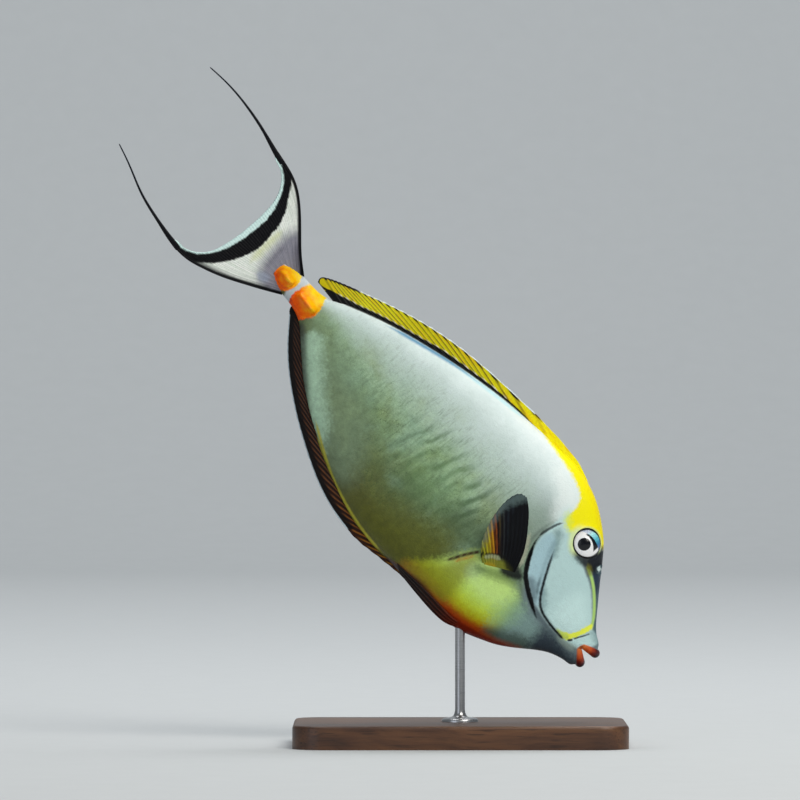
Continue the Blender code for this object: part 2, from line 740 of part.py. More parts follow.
def head(material):
    """The head with its eye sockets, mouth, nostrils and the beds of the gill covers."""
    front = [(-30.0, 90.0), (-30.0, -70.0)]
    outline = offset_line(neck_line(), -GAP / MM / 2) + front[::-1]
    skull = combine(body_form("skull"), prism("neck_cut", outline, -40, 40), "INTERSECT")
    bed = prism("bed", grown(gill_cover_outline(), GAP / MM), -40, 40)
    combine(bed, body_form("bed_floor", -GILL_COVER_DEPTH - GAP / MM), "DIFFERENCE")
    combine(skull, bed, "DIFFERENCE")
    groove_line = smooth_line(CHEEK_GROOVE, GROOVE_STEPS)
    groove = prism("groove", strip_outline(groove_line, GROOVE_WIDTH), -40, 40)
    combine(groove, body_form("groove_floor", -GROOVE_DEPTH), "DIFFERENCE")
    combine(skull, groove, "DIFFERENCE")
    reach = -MOUTH_REACH
    gape = [MOUTH_CORNER, (reach, MOUTH_FLOOR), (reach, MOUTH_TOP)]
    combine(skull, prism("gape", gape, -20, 20), "DIFFERENCE")
    for shape in (UPPER_LIP, LOWER_LIP):
        combine(skull, lip("lip_bed", shape, None, GAP / MM), "DIFFERENCE")
    bits, pits = [keep_largest(skull)], []
    for sign in (1, -1):
        surface, axis, turn = eye_frame(sign)
        rim = surface - axis * ORBIT_SINK * MM
        bits.append(ring_form("orbit", ORBIT_RADIUS, ORBIT_THICKNESS, rim, turn,
                              ORBIT_SEGMENTS, RIM_SIDES))
        middle = surface - axis * EYE_SINK * MM
        pits.append(dome("socket", EYE_RADIUS + GAP / MM, EYE_HALF_DEPTH + GAP / MM, middle, turn))
        for behind, height, radius in NOSTRILS:
            side = skin_side(behind, height)
            place = fish_vector(behind, sign * side, height)
            away = Vector((0.25, sign * 0.55, 0.8)).normalized()
            spin = away.to_track_quat("Z", "Y").to_matrix().to_4x4()
            bits.append(ring_form("nostril", radius, NOSTRIL_RIM, place, spin,
                                  NOSTRIL_SEGMENTS, RIM_SIDES))
            pits.append(dome("pit", radius * 0.85, NOSTRIL_DEPTH, place, spin))
    skull = unite("head", bits, material)
    for pit in pits:
        combine(skull, pit, "DIFFERENCE", solver="MANIFOLD")
    return keep_largest(skull)


def gill_cover(name, material):
    """The right gill cover, a plate that stands a little proud of the head."""
    low, high = -40, 0
    plate = prism(name, gill_cover_outline(), low, high)
    combine(plate, body_form("cover_top", GILL_COVER_RAISE), "INTERSECT")
    combine(plate, body_form("cover_floor", -GILL_COVER_DEPTH), "DIFFERENCE")
    plate.data.materials.clear()
    plate.data.materials.append(material)
    return keep_largest(plate)


def trunk(material):
    """The body from the gill opening to the tail stalk."""
    rear = STALK_START - GAP / MM / 2
    outline = offset_line(neck_line(), GAP / MM / 2) + [(rear, -90.0), (rear, 90.0)]
    torso = combine(body_form("trunk"), prism("trunk_cut", outline, -40, 40), "INTERSECT")
    torso.data.materials.clear()
    torso.data.materials.append(material)
    return keep_largest(torso)


def tail_stalk(material):
    """The narrow stalk that carries the keels and the tail fin."""
    front = STALK_START + GAP / MM / 2
    outline = [(front, -60.0), (330.0, -60.0), (330.0, 60.0), (front, 60.0)]
    stalk = combine(body_form("tail_stalk"), prism("stalk_cut", outline, -40, 40), "INTERSECT")
    stalk.data.materials.clear()
    stalk.data.materials.append(material)
    return keep_largest(stalk)


def keel(name, shape, material):
    """A right-hand bony plate with its forward-hooked keel, seated on the stalk's skin."""
    centre, half_size, blade = shape["at"], shape["half"], shape["blade"]
    top, floor = [], []
    for i in range(KEEL_COLUMNS + 1):
        across = 2 * i / KEEL_COLUMNS - 1
        top_row, floor_row = [], []
        for j in range(KEEL_ROWS + 1):
            up = 2 * j / KEEL_ROWS - 1
            round_off = math.sqrt(1 - across * across / 2), math.sqrt(1 - up * up / 2)
            place = np.array([across * round_off[1], up * round_off[0]])
            behind = centre[0] + half_size[0] * place[0]
            height = centre[1] + half_size[1] * place[1]
            seat = skin_side(behind, height, GAP / MM)
            edge = 1 - min(float(np.dot(place, place)), 1.0)
            crest = math.exp(-((height - centre[1]) / KEEL_EDGE) ** 2)
            swell = math.sin(math.pi * (across + 1) / 2) ** 0.8
            rise = KEEL_PLATE * edge**0.5 + blade * crest * swell * min(edge * 3, 1.0)
            hook = KEEL_HOOK * blade * crest * swell**2
            top_row.append(fish_vector(behind - hook, -(seat + max(rise, 0.0) + 0.5), height))
            floor_row.append(fish_vector(behind, -seat, height))
        top.append(top_row)
        floor.append(floor_row)
    mid = [[(a + b) / 2 for a, b in zip(x, y)] for x, y in zip(top, floor)]
    half = [[1.0] * (KEEL_ROWS + 1)] * (KEEL_COLUMNS + 1)
    apart = [[(a - b) / 2 for a, b in zip(x, y)] for x, y in zip(top, floor)]
    return outward(grid_solid(name, mid, half, apart, material))


def stand_base(material):
    """A flat base with rounded corners and softened edges, resting on the floor."""
    length, width, thickness = BASE_SIZE
    outline = []
    for corner, (sx, sy) in enumerate(((1, 1), (-1, 1), (-1, -1), (1, -1))):
        for i in range(BASE_CORNER_STEPS + 1):
            angle = math.pi / 2 * (corner + i / BASE_CORNER_STEPS)
            outline.append((sx * (length / 2 - BASE_CORNER), sy * (width / 2 - BASE_CORNER),
                            math.cos(angle), math.sin(angle)))
    levels = ((0.0, BASE_BEVEL * 0.4), (BASE_BEVEL * 0.4, 0.0), (thickness - BASE_BEVEL, 0.0),
              (thickness - BASE_BEVEL * 0.3, BASE_BEVEL * 0.3), (thickness, BASE_BEVEL))
    rings = [[Vector((x + c * (BASE_CORNER - inset), y + s * (BASE_CORNER - inset), level)) * MM
              for x, y, c, s in outline] for level, inset in levels]
    return outward(make_object("stand_base", *loft(rings), material))


def stand_rod(body, material):
    """A turned rod with a flange, from the base up to the fish's throat."""
    floor = BASE_SIZE[2] + GAP / MM
    profile = [(radius, floor + level) for radius, level in ROD_FLANGE]
    profile.append((ROD_RADIUS, ROD_TOP))
    rings = []
    for radius, level in profile:
        ring = []
        for j in range(ROD_SIDES):
            angle = 2 * math.pi * j / ROD_SIDES
            ring.append(Vector((radius * math.cos(angle), radius * math.sin(angle), level)) * MM)
        rings.append(ring)
    rod = outward(make_object("stand_rod", *loft(rings), material))
    return keep_largest(combine(rod, body, "DIFFERENCE", keep_cutter=True))


def main():
    """Builds the fish and its stand."""
    for obj in list(bpy.data.objects):
        bpy.data.objects.remove(obj)
    silver = make_material("skin_silver", (0.56, 0.62, 0.58), 0.38)
    plate = make_material("gill_cover_silver", (0.60, 0.67, 0.66), 0.36)
    coral = make_material("lip_orange", (0.62, 0.16, 0.05), 0.45)
    orange = make_material("keel_orange", (0.95, 0.38, 0.03), 0.42)
    yellow = make_material("fin_yellow", (0.80, 0.62, 0.04), 0.45)
    brown = make_material("fin_brown", (0.10, 0.05, 0.03), 0.45)
    pale = make_material("tail_white", (0.70, 0.72, 0.66), 0.45)
    black = make_material("fin_black", (0.02, 0.02, 0.03), 0.42)
    glass = make_material("eye_white", (0.75, 0.78, 0.78), 0.12)
    walnut = make_material("stand_walnut", (0.19, 0.10, 0.055), 0.5)
    steel = make_material("stand_steel", (0.62, 0.62, 0.63), 0.3, 1.0)

    clear = body_form("clear_of_body", GAP / MM)
    held = bpy.data.objects.new("fish_pose", None)
    bpy.context.scene.collection.objects.link(held)
    pieces = [trunk(silver), tail_stalk(silver), head(silver)]
    covers = gill_cover("gill_cover_right", plate)
    pieces += [covers, mirrored(covers, "gill_cover_left")]
    pieces += [lip("lip_upper", UPPER_LIP, coral), lip("lip_lower", LOWER_LIP, coral)]
    for name, sign in (("eye_left", 1), ("eye_right", -1)):
        surface, axis, turn = eye_frame(sign)
        middle = surface - axis * EYE_SINK * MM
        pieces.append(dome(name, EYE_RADIUS, EYE_HALF_DEPTH, middle, turn, glass))
    pieces += [dorsal_fin(yellow), anal_fin(brown)]
    pieces.append(tail_lobe("tail_fin_upper", UPPER_MARGIN, UPPER_FORK, 1, clear, pale))
    pieces.append(tail_lobe("tail_fin_lower", LOWER_MARGIN, LOWER_FORK, -1, clear, pale))
    pieces.append(streamer("tail_streamer_upper", UPPER_STREAMER, black))
    pieces.append(streamer("tail_streamer_lower", LOWER_STREAMER, black))
    for build, name, material in ((pectoral_fin, "pectoral_fin", black), (pelvic_fin, "pelvic_fin", brown)):
        right = build(name + "_right", clear, material)
        pieces += [right, mirrored(right, name + "_left")]
    for name, shape in (("keel_front", FRONT_KEEL), ("keel_rear", REAR_KEEL)):
        right = keel(name + "_right", shape, orange)
        pieces += [right, mirrored(right, name + "_left")]
    for piece in pieces + [clear]:
        piece.parent = held
    held.rotation_euler = (0.0, DIVE_ANGLE, 0.0)
    held.location = (SNOUT_FORWARD, 0.0, SNOUT_HEIGHT)
    bpy.context.view_layer.update()
    stand_base(walnut)
    stand_rod(clear, steel)
    bpy.data.objects.remove(clear)


main()
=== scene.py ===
"""An elegant unicornfish at life size, in a steep dive over a walnut stand, dressed for its picture.

Every place on the fish is given in millimetres in the fish's own frame: how far behind the closed
snout, how far to its left side, and how high towards its back. The pose turns such a place into
the model's frame, which is in metres.
"""

import logging
import math
from collections.abc import Callable
from dataclasses import dataclass, field
from enum import Enum

import bpy
import numpy as np
from mathutils import Matrix, Vector


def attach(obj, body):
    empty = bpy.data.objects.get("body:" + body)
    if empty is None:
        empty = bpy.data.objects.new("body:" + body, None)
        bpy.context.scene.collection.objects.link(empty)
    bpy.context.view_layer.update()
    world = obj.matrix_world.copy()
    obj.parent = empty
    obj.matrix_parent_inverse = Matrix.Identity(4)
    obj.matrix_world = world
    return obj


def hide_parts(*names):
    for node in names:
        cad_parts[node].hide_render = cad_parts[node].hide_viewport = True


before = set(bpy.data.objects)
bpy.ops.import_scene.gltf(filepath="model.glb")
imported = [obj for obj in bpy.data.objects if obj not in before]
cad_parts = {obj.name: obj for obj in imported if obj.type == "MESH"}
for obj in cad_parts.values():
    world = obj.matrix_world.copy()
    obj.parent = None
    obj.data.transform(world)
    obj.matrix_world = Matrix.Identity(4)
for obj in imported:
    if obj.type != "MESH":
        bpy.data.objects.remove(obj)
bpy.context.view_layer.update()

MM = 0.001
LOG = logging.getLogger("unicornfish")
Points = tuple[tuple[float, float], ...]
Stops = tuple[tuple[float, str], ...]
Socket = bpy.types.NodeSocket
Place = tuple[float, float, float]


class Side(Enum):
    """The two sides of the fish, with the sign of their side distance."""

    LEFT = 1
    RIGHT = -1


def smooth(value: np.ndarray, low: float, high: float) -> np.ndarray:
    """A soft step.

    Args:
        value: The numbers to judge.
        low: Where the step starts, at 0.
        high: Where it ends, at 1. It may be less than low for a falling step.

    Returns:
        The height of the step at each number.
    """
    share = np.clip((value - low) / (high - low), 0.0, 1.0)
    return share * share * (3 - 2 * share)


def bell(value: np.ndarray, width: float) -> np.ndarray:
    """A smooth hump of height 1 about zero, that wide from its middle."""
    return np.exp(-((value / width) ** 2))


def linear_colour(code: str) -> tuple[float, float, float, float]:
    """The scene-linear colour of a six-digit colour code such as d8e0dc."""
    parts = [int(code[i : i + 2], 16) / 255 for i in (0, 2, 4)]
    return (*[c / 12.92 if c <= 0.04045 else ((c + 0.055) / 1.055) ** 2.4 for c in parts], 1.0)


class NaturalSpline:
    """A smooth function of the first column of a table, which gives its other columns."""

    def __init__(self, stations: np.ndarray | Points) -> None:
        """Solves for the spline.

        Args:
            stations: Rows of the knot followed by the values there.
        """
        table = np.array(stations, float)
        self.knots, self.values = table[:, 0], table[:, 1:]
        self.step = np.diff(self.knots)
        count = len(self.knots)
        system, right = np.eye(count), np.zeros_like(self.values)
        for i in range(1, count - 1):
            before, after = self.step[i - 1], self.step[i]
            system[i, i - 1 : i + 2] = before, 2 * (before + after), after
            slopes = np.diff(self.values[i - 1 : i + 2], axis=0) / [[before], [after]]
            right[i] = 6 * (slopes[1] - slopes[0])
        self.bend = np.linalg.solve(system, right)

    def __call__(self, at: np.ndarray | float) -> np.ndarray:
        """The values at some places, one column each, clamped to the table's ends.

        Args:
            at: The places, in an array of any shape.

        Returns:
            An array of that shape with one more axis, for the columns.
        """
        x = np.clip(np.asarray(at, float), self.knots[0], self.knots[-1])
        i = np.clip(np.searchsorted(self.knots, x, side="right") - 1, 0, len(self.knots) - 2)
        step = self.step[i][..., None]
        after = (x - self.knots[i])[..., None]
        before = step - after
        curve = (self.bend[i] * before**3 + self.bend[i + 1] * after**3) / (6 * step)
        start = (self.values[i] / step - self.bend[i] * step / 6) * before
        end = (self.values[i + 1] / step - self.bend[i + 1] * step / 6) * after
        return curve + start + end


class SmoothPath(NaturalSpline):
    """A smooth path through points in the side view, as a function of the share of its length."""

    def __init__(self, points: Points) -> None:
        """Spaces the points along the path by the distances between them.

        Args:
            points: (behind, height) of each point, in order.
        """
        table = np.array(points, float)
        lengths = np.linalg.norm(np.diff(table, axis=0), axis=1)
        share = np.concatenate([[0.0], np.cumsum(lengths)]) / lengths.sum()
        super().__init__(np.column_stack([share, table]))

    def dense(self, count: int = 60) -> np.ndarray:
        """Evenly spaced points along the path."""
        return self(np.linspace(0, 1, count))


def rounded(points: Points, passes: int = 3) -> np.ndarray:
    """A closed outline with its corners cut until it is smooth.

    Args:
        points: The outline's corners.
        passes: How many times each corner is cut.

    Returns:
        The smooth outline's corners.
    """
    outline = np.array(points, float)
    for _ in range(passes):
        following = np.roll(outline, -1, axis=0)
        outline = np.stack([0.75 * outline + 0.25 * following, 0.25 * outline + 0.75 * following], axis=1)
        outline = outline.reshape(-1, 2)
    return outline


def line_distance(places: np.ndarray, line: np.ndarray) -> tuple[np.ndarray, np.ndarray, np.ndarray]:
    """How far places are from an open line.

    Args:
        places: (behind, height) of each place.
        line: The line's points in order.

    Returns:
        The distance, which side of the line the place is on as a sign, and the share of the
        line's length at the nearest point.
    """
    best = np.full(len(places), np.inf)
    sign, share = np.ones(len(places)), np.zeros(len(places))
    lengths = np.linalg.norm(np.diff(line, axis=0), axis=1)
    passed = np.concatenate([[0.0], np.cumsum(lengths)])
    for i, length in enumerate(lengths):
        along = (line[i + 1] - line[i]) / length
        away = places - line[i]
        reach = np.clip(away @ along, 0, length)
        gap = away - reach[:, None] * along
        distance = np.hypot(gap[:, 0], gap[:, 1])
        nearer = distance < best
        best[nearer] = distance[nearer]
        cross = along[0] * away[:, 1] - along[1] * away[:, 0]
        sign[nearer] = np.where(cross[nearer] >= 0, 1.0, -1.0)
        share[nearer] = ((passed[i] + reach) / passed[-1])[nearer]
    return best, sign, share


def patch_distance(places: np.ndarray, outline: np.ndarray) -> np.ndarray:
    """How deep places lie inside a closed outline, negative outside it.

    Args:
        places: (behind, height) of each place.
        outline: The outline's corners in order.

    Returns:
        The signed distance to the outline.
    """
    closed = np.vstack([outline, outline[:1]])
    distance, _, _ = line_distance(places, closed)
    inside = np.zeros(len(places), bool)
    for (x0, y0), (x1, y1) in zip(closed[:-1], closed[1:]):
        if y0 != y1:
            crosses = (places[:, 1] < y0) != (places[:, 1] < y1)
            inside ^= crosses & (places[:, 0] < x0 + (places[:, 1] - y0) * (x1 - x0) / (y1 - y0))
    return np.where(inside, distance, -distance)


@dataclass(frozen=True)
class Pose:
    """How the fish hangs over its stand."""

    dive_degrees: float = 50.6
    snout_forward: float = 78.6
    snout_height: float = 55.2

    def place(self, points: np.ndarray) -> np.ndarray:
        """Turns places on the fish into the model's frame.

        Args:
            points: (behind, side, height) in millimetres, on the last axis.

        Returns:
            The places in metres.
        """
        angle = math.radians(self.dive_degrees)
        behind, side, height = points[..., 0], points[..., 1], points[..., 2]
        x = self.snout_forward - behind * math.cos(angle) + height * math.sin(angle)
        z = self.snout_height + behind * math.sin(angle) + height * math.cos(angle)
        return np.stack([x, side, z], axis=-1) * MM

    def fish_place(self, x: float, z: float) -> tuple[float, float]:
        """Turns a place in the fish's middle plane into the fish's frame.

        Args:
            x: The place's x in the model's frame, in millimetres.
            z: Its z.

        Returns:
            (behind, height) in millimetres.
        """
        angle = math.radians(self.dive_degrees)
        x, z = x - self.snout_forward, z - self.snout_height
        return -x * math.cos(angle) + z * math.sin(angle), x * math.sin(angle) + z * math.cos(angle)


POSE = Pose()


class Workbench:
    """The hand moves that shape a piece: a primitive, its places, and what finishes it."""

    @staticmethod
    def clear_selection() -> None:
        """Leaves edit mode and deselects everything."""
        if bpy.context.object and bpy.context.object.mode != "OBJECT":
            bpy.ops.object.mode_set(mode="OBJECT")
        bpy.ops.object.select_all(action="DESELECT")

    @classmethod
    def pick(cls, *pieces: bpy.types.Object) -> None:
        """Selects only these pieces, with the first as the active one.

        Args:
            *pieces: The pieces.
        """
        cls.clear_selection()
        for piece in pieces:
            piece.select_set(True)
        bpy.context.view_layer.objects.active = pieces[0]

    @staticmethod
    def pick_edges(mesh: bpy.types.Mesh, wanted: Callable[[float, float], bool]) -> None:
        """Enters edit mode with some edges of the active object selected.

        Args:
            mesh: The active object's mesh.
            wanted: Says from the heights of an edge's lower and upper end whether to select it.
        """
        bpy.ops.object.mode_set(mode="EDIT")
        bpy.ops.mesh.select_mode(type="EDGE")
        bpy.ops.mesh.select_all(action="DESELECT")
        bpy.ops.object.mode_set(mode="OBJECT")
        for edge in mesh.edges:
            edge.select = wanted(*sorted(mesh.vertices[i].co.z for i in edge.vertices))
        bpy.ops.object.mode_set(mode="EDIT")

    @staticmethod
    def named(name: str) -> bpy.types.Object:
        """Names the object just added, and its mesh.

        Args:
            name: The name.

        Returns:
            The object.
        """
        piece = bpy.context.object
        piece.name = piece.data.name = name
        return piece

    @classmethod
    def laid_grid(
        cls, name: str, places: np.ndarray, attributes: dict[str, np.ndarray] | None = None
    ) -> bpy.types.Object:
        """A grid primitive laid over places in the model's frame.

        Args:
            name: The piece's name.
            places: An array of columns by rows by three, in metres.
            attributes: Numbers for each place, by name, in arrays of columns by rows.

        Returns:
            The piece.
        """
        columns, rows = places.shape[:2]
        cls.clear_selection()
        bpy.ops.mesh.primitive_grid_add(x_subdivisions=columns - 1, y_subdivisions=rows - 1, size=1)
        piece = cls.named(name)
        flat = np.empty(columns * rows * 3, np.float32)
        piece.data.vertices.foreach_get("co", flat)
        flat = flat.reshape(-1, 3)
        order = np.lexsort((np.round(flat[:, 1], 6), np.round(flat[:, 0], 6)))
        flat[order] = places.reshape(-1, 3)
        piece.data.vertices.foreach_set("co", flat.ravel())
        for key, values in (attributes or {}).items():
            numbers = np.empty(columns * rows, np.float32)
            numbers[order] = values.reshape(-1)
            piece.data.attributes.new(key, "FLOAT", "POINT").data.foreach_set("value", numbers)
        piece.data.update()
        return piece

    @classmethod
    def close_up(cls, piece: bpy.types.Object, gap: float = 1e-6) -> bpy.types.Object:
        """Merges doubled places, turns every face outwards and shades the piece smooth.

        Args:
            piece: The piece to finish.
            gap: The largest distance between places that are merged, in metres.

        Returns:
            The same piece.
        """
        cls.pick(piece)
        bpy.ops.object.mode_set(mode="EDIT")
        bpy.ops.mesh.select_all(action="SELECT")
        bpy.ops.mesh.remove_doubles(threshold=gap)
        bpy.ops.mesh.normals_make_consistent(inside=False)
        bpy.ops.object.mode_set(mode="OBJECT")
        bpy.ops.object.shade_smooth()
        return piece

    @classmethod
    def pillow(
        cls,
        name: str,
        middle: np.ndarray,
        half: np.ndarray,
        away: np.ndarray,
        attributes: dict[str, np.ndarray] | None = None,
    ) -> bpy.types.Object:
        """A thin closed sheet: one laid grid on each side of a middle sheet, sewn at the rim.

        Args:
            name: The piece's name.
            middle: Places of the middle sheet in the fish's frame, columns by rows by three.
            half: Half the thickness at each place, in millimetres.
            away: The direction in which the thickness is measured, in the fish's frame.
            attributes: Numbers for each place, by name.

        Returns:
            The closed piece.
        """
        rim = np.ones_like(half)
        rim[0], rim[-1], rim[:, 0], rim[:, -1] = 0, 0, 0, 0
        push = (half * rim)[..., None] * away
        faces = [
            cls.laid_grid(name + suffix, POSE.place(middle + sign * push), attributes)
            for suffix, sign in (("", 1), ("_back", -1))
        ]
        cls.pick(*faces)
        bpy.ops.object.join()
        return cls.close_up(faces[0])

    @classmethod
    def other_side(cls, piece: bpy.types.Object, name: str) -> bpy.types.Object:
        """A copy of a piece, mirrored to the fish's other side, with its own mesh.

        Args:
            piece: The piece to copy.
            name: The copy's name.

        Returns:
            The copy.
        """
        cls.pick(piece)
        bpy.ops.object.duplicate()
        copy = cls.named(name)
        copy.data.transform(Matrix.Diagonal((1, -1, 1, 1)))
        return cls.close_up(copy)

    @classmethod
    def hand_over_pair(
        cls, right: bpy.types.Object, material: bpy.types.Material, slot: str, node: str
    ) -> None:
        """Mirrors a right-hand piece, and hands over both.

        Args:
            right: The right-hand piece, with a name that ends in right.
            material: Their finish.
            slot: The record's material slot.
            node: The CAD nodes' name, without the side at its end.
        """
        left = cls.other_side(right, right.name.replace("_right", "_left"))
        for piece, side in ((right, Side.RIGHT), (left, Side.LEFT)):
            cls.hand_over(piece, material, slot, f"{node}_{side.name.lower()}")

    @staticmethod
    def hand_over(
        piece: bpy.types.Object, material: bpy.types.Material, slot: str, *nodes: str
    ) -> bpy.types.Object:
        """Dresses a finished piece and tells the frame what it stands for.

        Args:
            piece: The finished piece.
            material: Its finish.
            slot: The record's material slot. Not used.
            nodes: The CAD nodes that it replaces.

        Returns:
            The same piece.
        """
        piece.data.materials.clear()
        piece.data.materials.append(material)
        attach(piece, "root")
        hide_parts(*nodes)
        LOG.info("%s: %d faces, stands for %s", piece.name, len(piece.data.polygons), ", ".join(nodes))
        return piece


class NodeDesk:
    """Adds nodes to one material's or group's tree and wires them."""

    def __init__(self, tree: bpy.types.NodeTree) -> None:
        """Takes the tree to work on."""
        self.tree = tree

    def put(self, kind: str, inputs: dict | None = None, **settings) -> bpy.types.Node:
        """Adds a node.

        Args:
            kind: The node's type without the ShaderNode before it.
            inputs: Values or sockets for its inputs, by name or number.
            **settings: The node's own settings.

        Returns:
            The node.
        """
        node = self.tree.nodes.new("ShaderNode" + kind)
        for key, value in settings.items():
            setattr(node, key, value)
        self.fill(node, inputs or {})
        return node

    def fill(self, node: bpy.types.Node, inputs: dict) -> None:
        """Feeds several inputs of a node, by name or number."""
        for key, value in inputs.items():
            self.feed(node.inputs[key], value)

    def feed(self, socket: bpy.types.NodeSocket, value: object) -> None:
        """Links a socket to an input, or sets the input's own value.

        Args:
            socket: The input.
            value: A socket, a number, a vector or a colour code.
        """
        if isinstance(value, bpy.types.NodeSocket):
            self.tree.links.new(value, socket)
        else:
            socket.default_value = linear_colour(value) if isinstance(value, str) else value

    def math(self, operation: str, *values: object) -> Socket:
        """The result of a Math node."""
        return self.put("Math", dict(enumerate(values)), operation=operation).outputs[0]

    def times(self, first: object, second: object) -> Socket:
        """The product of two numbers."""
        return self.math("MULTIPLY", first, second)

    def plus(self, first: object, second: object) -> Socket:
        """The sum of two numbers."""
        return self.math("ADD", first, second)

    def minus(self, first: object, second: object) -> Socket:
        """The first number less the second."""
        return self.math("SUBTRACT", first, second)

    def sway(self, noise: object, amount: object) -> Socket:
        """A noise about 0 that spans an amount."""
        return self.times(self.minus(noise, 0.5), amount)

    def step(self, value: object, low: object, high: object, bottom: float = 0.0, top: float = 1.0) -> Socket:
        """A soft step of a value from bottom to top between low and high."""
        limits = {"Value": value, "From Min": low, "From Max": high, "To Min": bottom, "To Max": top}
        return self.put("MapRange", limits, interpolation_type="SMOOTHSTEP").outputs[0]

    def mix(self, share: object, under: object, over: object) -> Socket:
        """Two colours blended by a share."""
        return self.put("Mix", {0: share, 6: under, 7: over}, data_type="RGBA").outputs[2]

    def toned(self, colour: object, change: object) -> Socket:
        """A colour made lighter or darker by a change about 0."""
        return self.put("HueSaturation", {"Color": colour, "Value": self.plus(change, 1.0)}).outputs[0]

    def ramp(self, share: object, *stops: tuple[float, str]) -> Socket:
        """A colour ramp.

        Args:
            share: The place on the ramp.
            *stops: The place and the colour code of each stop.

        Returns:
            The colour.
        """
        node = self.put("ValToRGB", {0: share})
        elements = node.color_ramp.elements
        while len(elements) < len(stops):
            elements.new(0.5)
        for element, (place, code) in zip(elements, sorted(stops)):
            element.position = place
            element.color = linear_colour(code)
        return node.outputs[0]

    def number(self, name: str) -> Socket:
        """The piece's own number of that name."""
        return self.put("Attribute", attribute_name=name).outputs["Fac"]

    def noise(self, place: object, scale: float, detail: float = 2.0, roughness: float = 0.5) -> Socket:
        """A noise from 0 to 1 with features about 1/scale across."""
        settings = {"Vector": place, "Scale": scale, "Detail": detail, "Roughness": roughness}
        return self.put("TexNoise", settings).outputs[0]

    def cells(self, place: object, scale: float) -> Socket:
        """Distances within a pattern of cells about 1/scale across."""
        return self.put("TexVoronoi", {"Vector": place, "Scale": scale}).outputs["Distance"]

    def scaled(self, place: object, size: object) -> Socket:
        """A place times a number."""
        return self.put("VectorMath", {0: place, 3: size}, operation="SCALE").outputs[0]

    def stretched(self, place: object, scale: tuple[float, float, float]) -> Socket:
        """A place with its axes stretched."""
        return self.put("Mapping", {"Vector": place, "Scale": scale}).outputs[0]

    def joined(self, first: object, second: object) -> Socket:
        """A flat place from two numbers."""
        return self.put("CombineXYZ", {0: first, 1: second}).outputs[0]

    def object_place(self) -> Socket:
        """Where a point is in the model's frame, in metres."""
        return self.put("TexCoord").outputs["Object"]

    def fish_place(self) -> Socket:
        """Where a point is in the fish's frame, in millimetres: -behind, side and height."""
        settings = {
            "Vector": self.object_place(),
            "Location": (POSE.snout_forward * MM, 0.0, POSE.snout_height * MM),
            "Rotation": (0.0, math.radians(POSE.dive_degrees), 0.0),
            "Scale": (MM, MM, MM),
        }
        return self.put("Mapping", settings, vector_type="TEXTURE").outputs[0]

    def behind_and_height(self, place: object) -> tuple[Socket, Socket]:
        """The distance behind the snout and the height of a place in the fish's frame."""
        parts = self.put("SeparateXYZ", {0: place}).outputs
        return self.times(parts["X"], -1.0), parts["Z"]

    def group(self, tree: bpy.types.NodeTree, inputs: dict) -> bpy.types.Node:
        """Places a shared node group.

        Args:
            tree: The group.
            inputs: Values or sockets for its inputs, by name.

        Returns:
            The group's node.
        """
        node = self.tree.nodes.new("ShaderNodeGroup")
        node.node_tree = tree
        self.fill(node, inputs)
        return node

    def bump(self, height: object, distance: float, strength: float = 1.0) -> Socket:
        """A normal tilted by a height, with its full depth given in metres."""
        return self.put("Bump", {"Height": height, "Distance": distance, "Strength": strength}).outputs[0]


def new_material(name: str) -> tuple[bpy.types.Material, NodeDesk, bpy.types.Node]:
    """Starts a material.

    Args:
        name: The material's name.

    Returns:
        The material, a desk for its nodes, and its Principled shader.
    """
    material = bpy.data.materials.new(name)
    material.use_nodes = True
    return material, NodeDesk(material.node_tree), material.node_tree.nodes["Principled BSDF"]


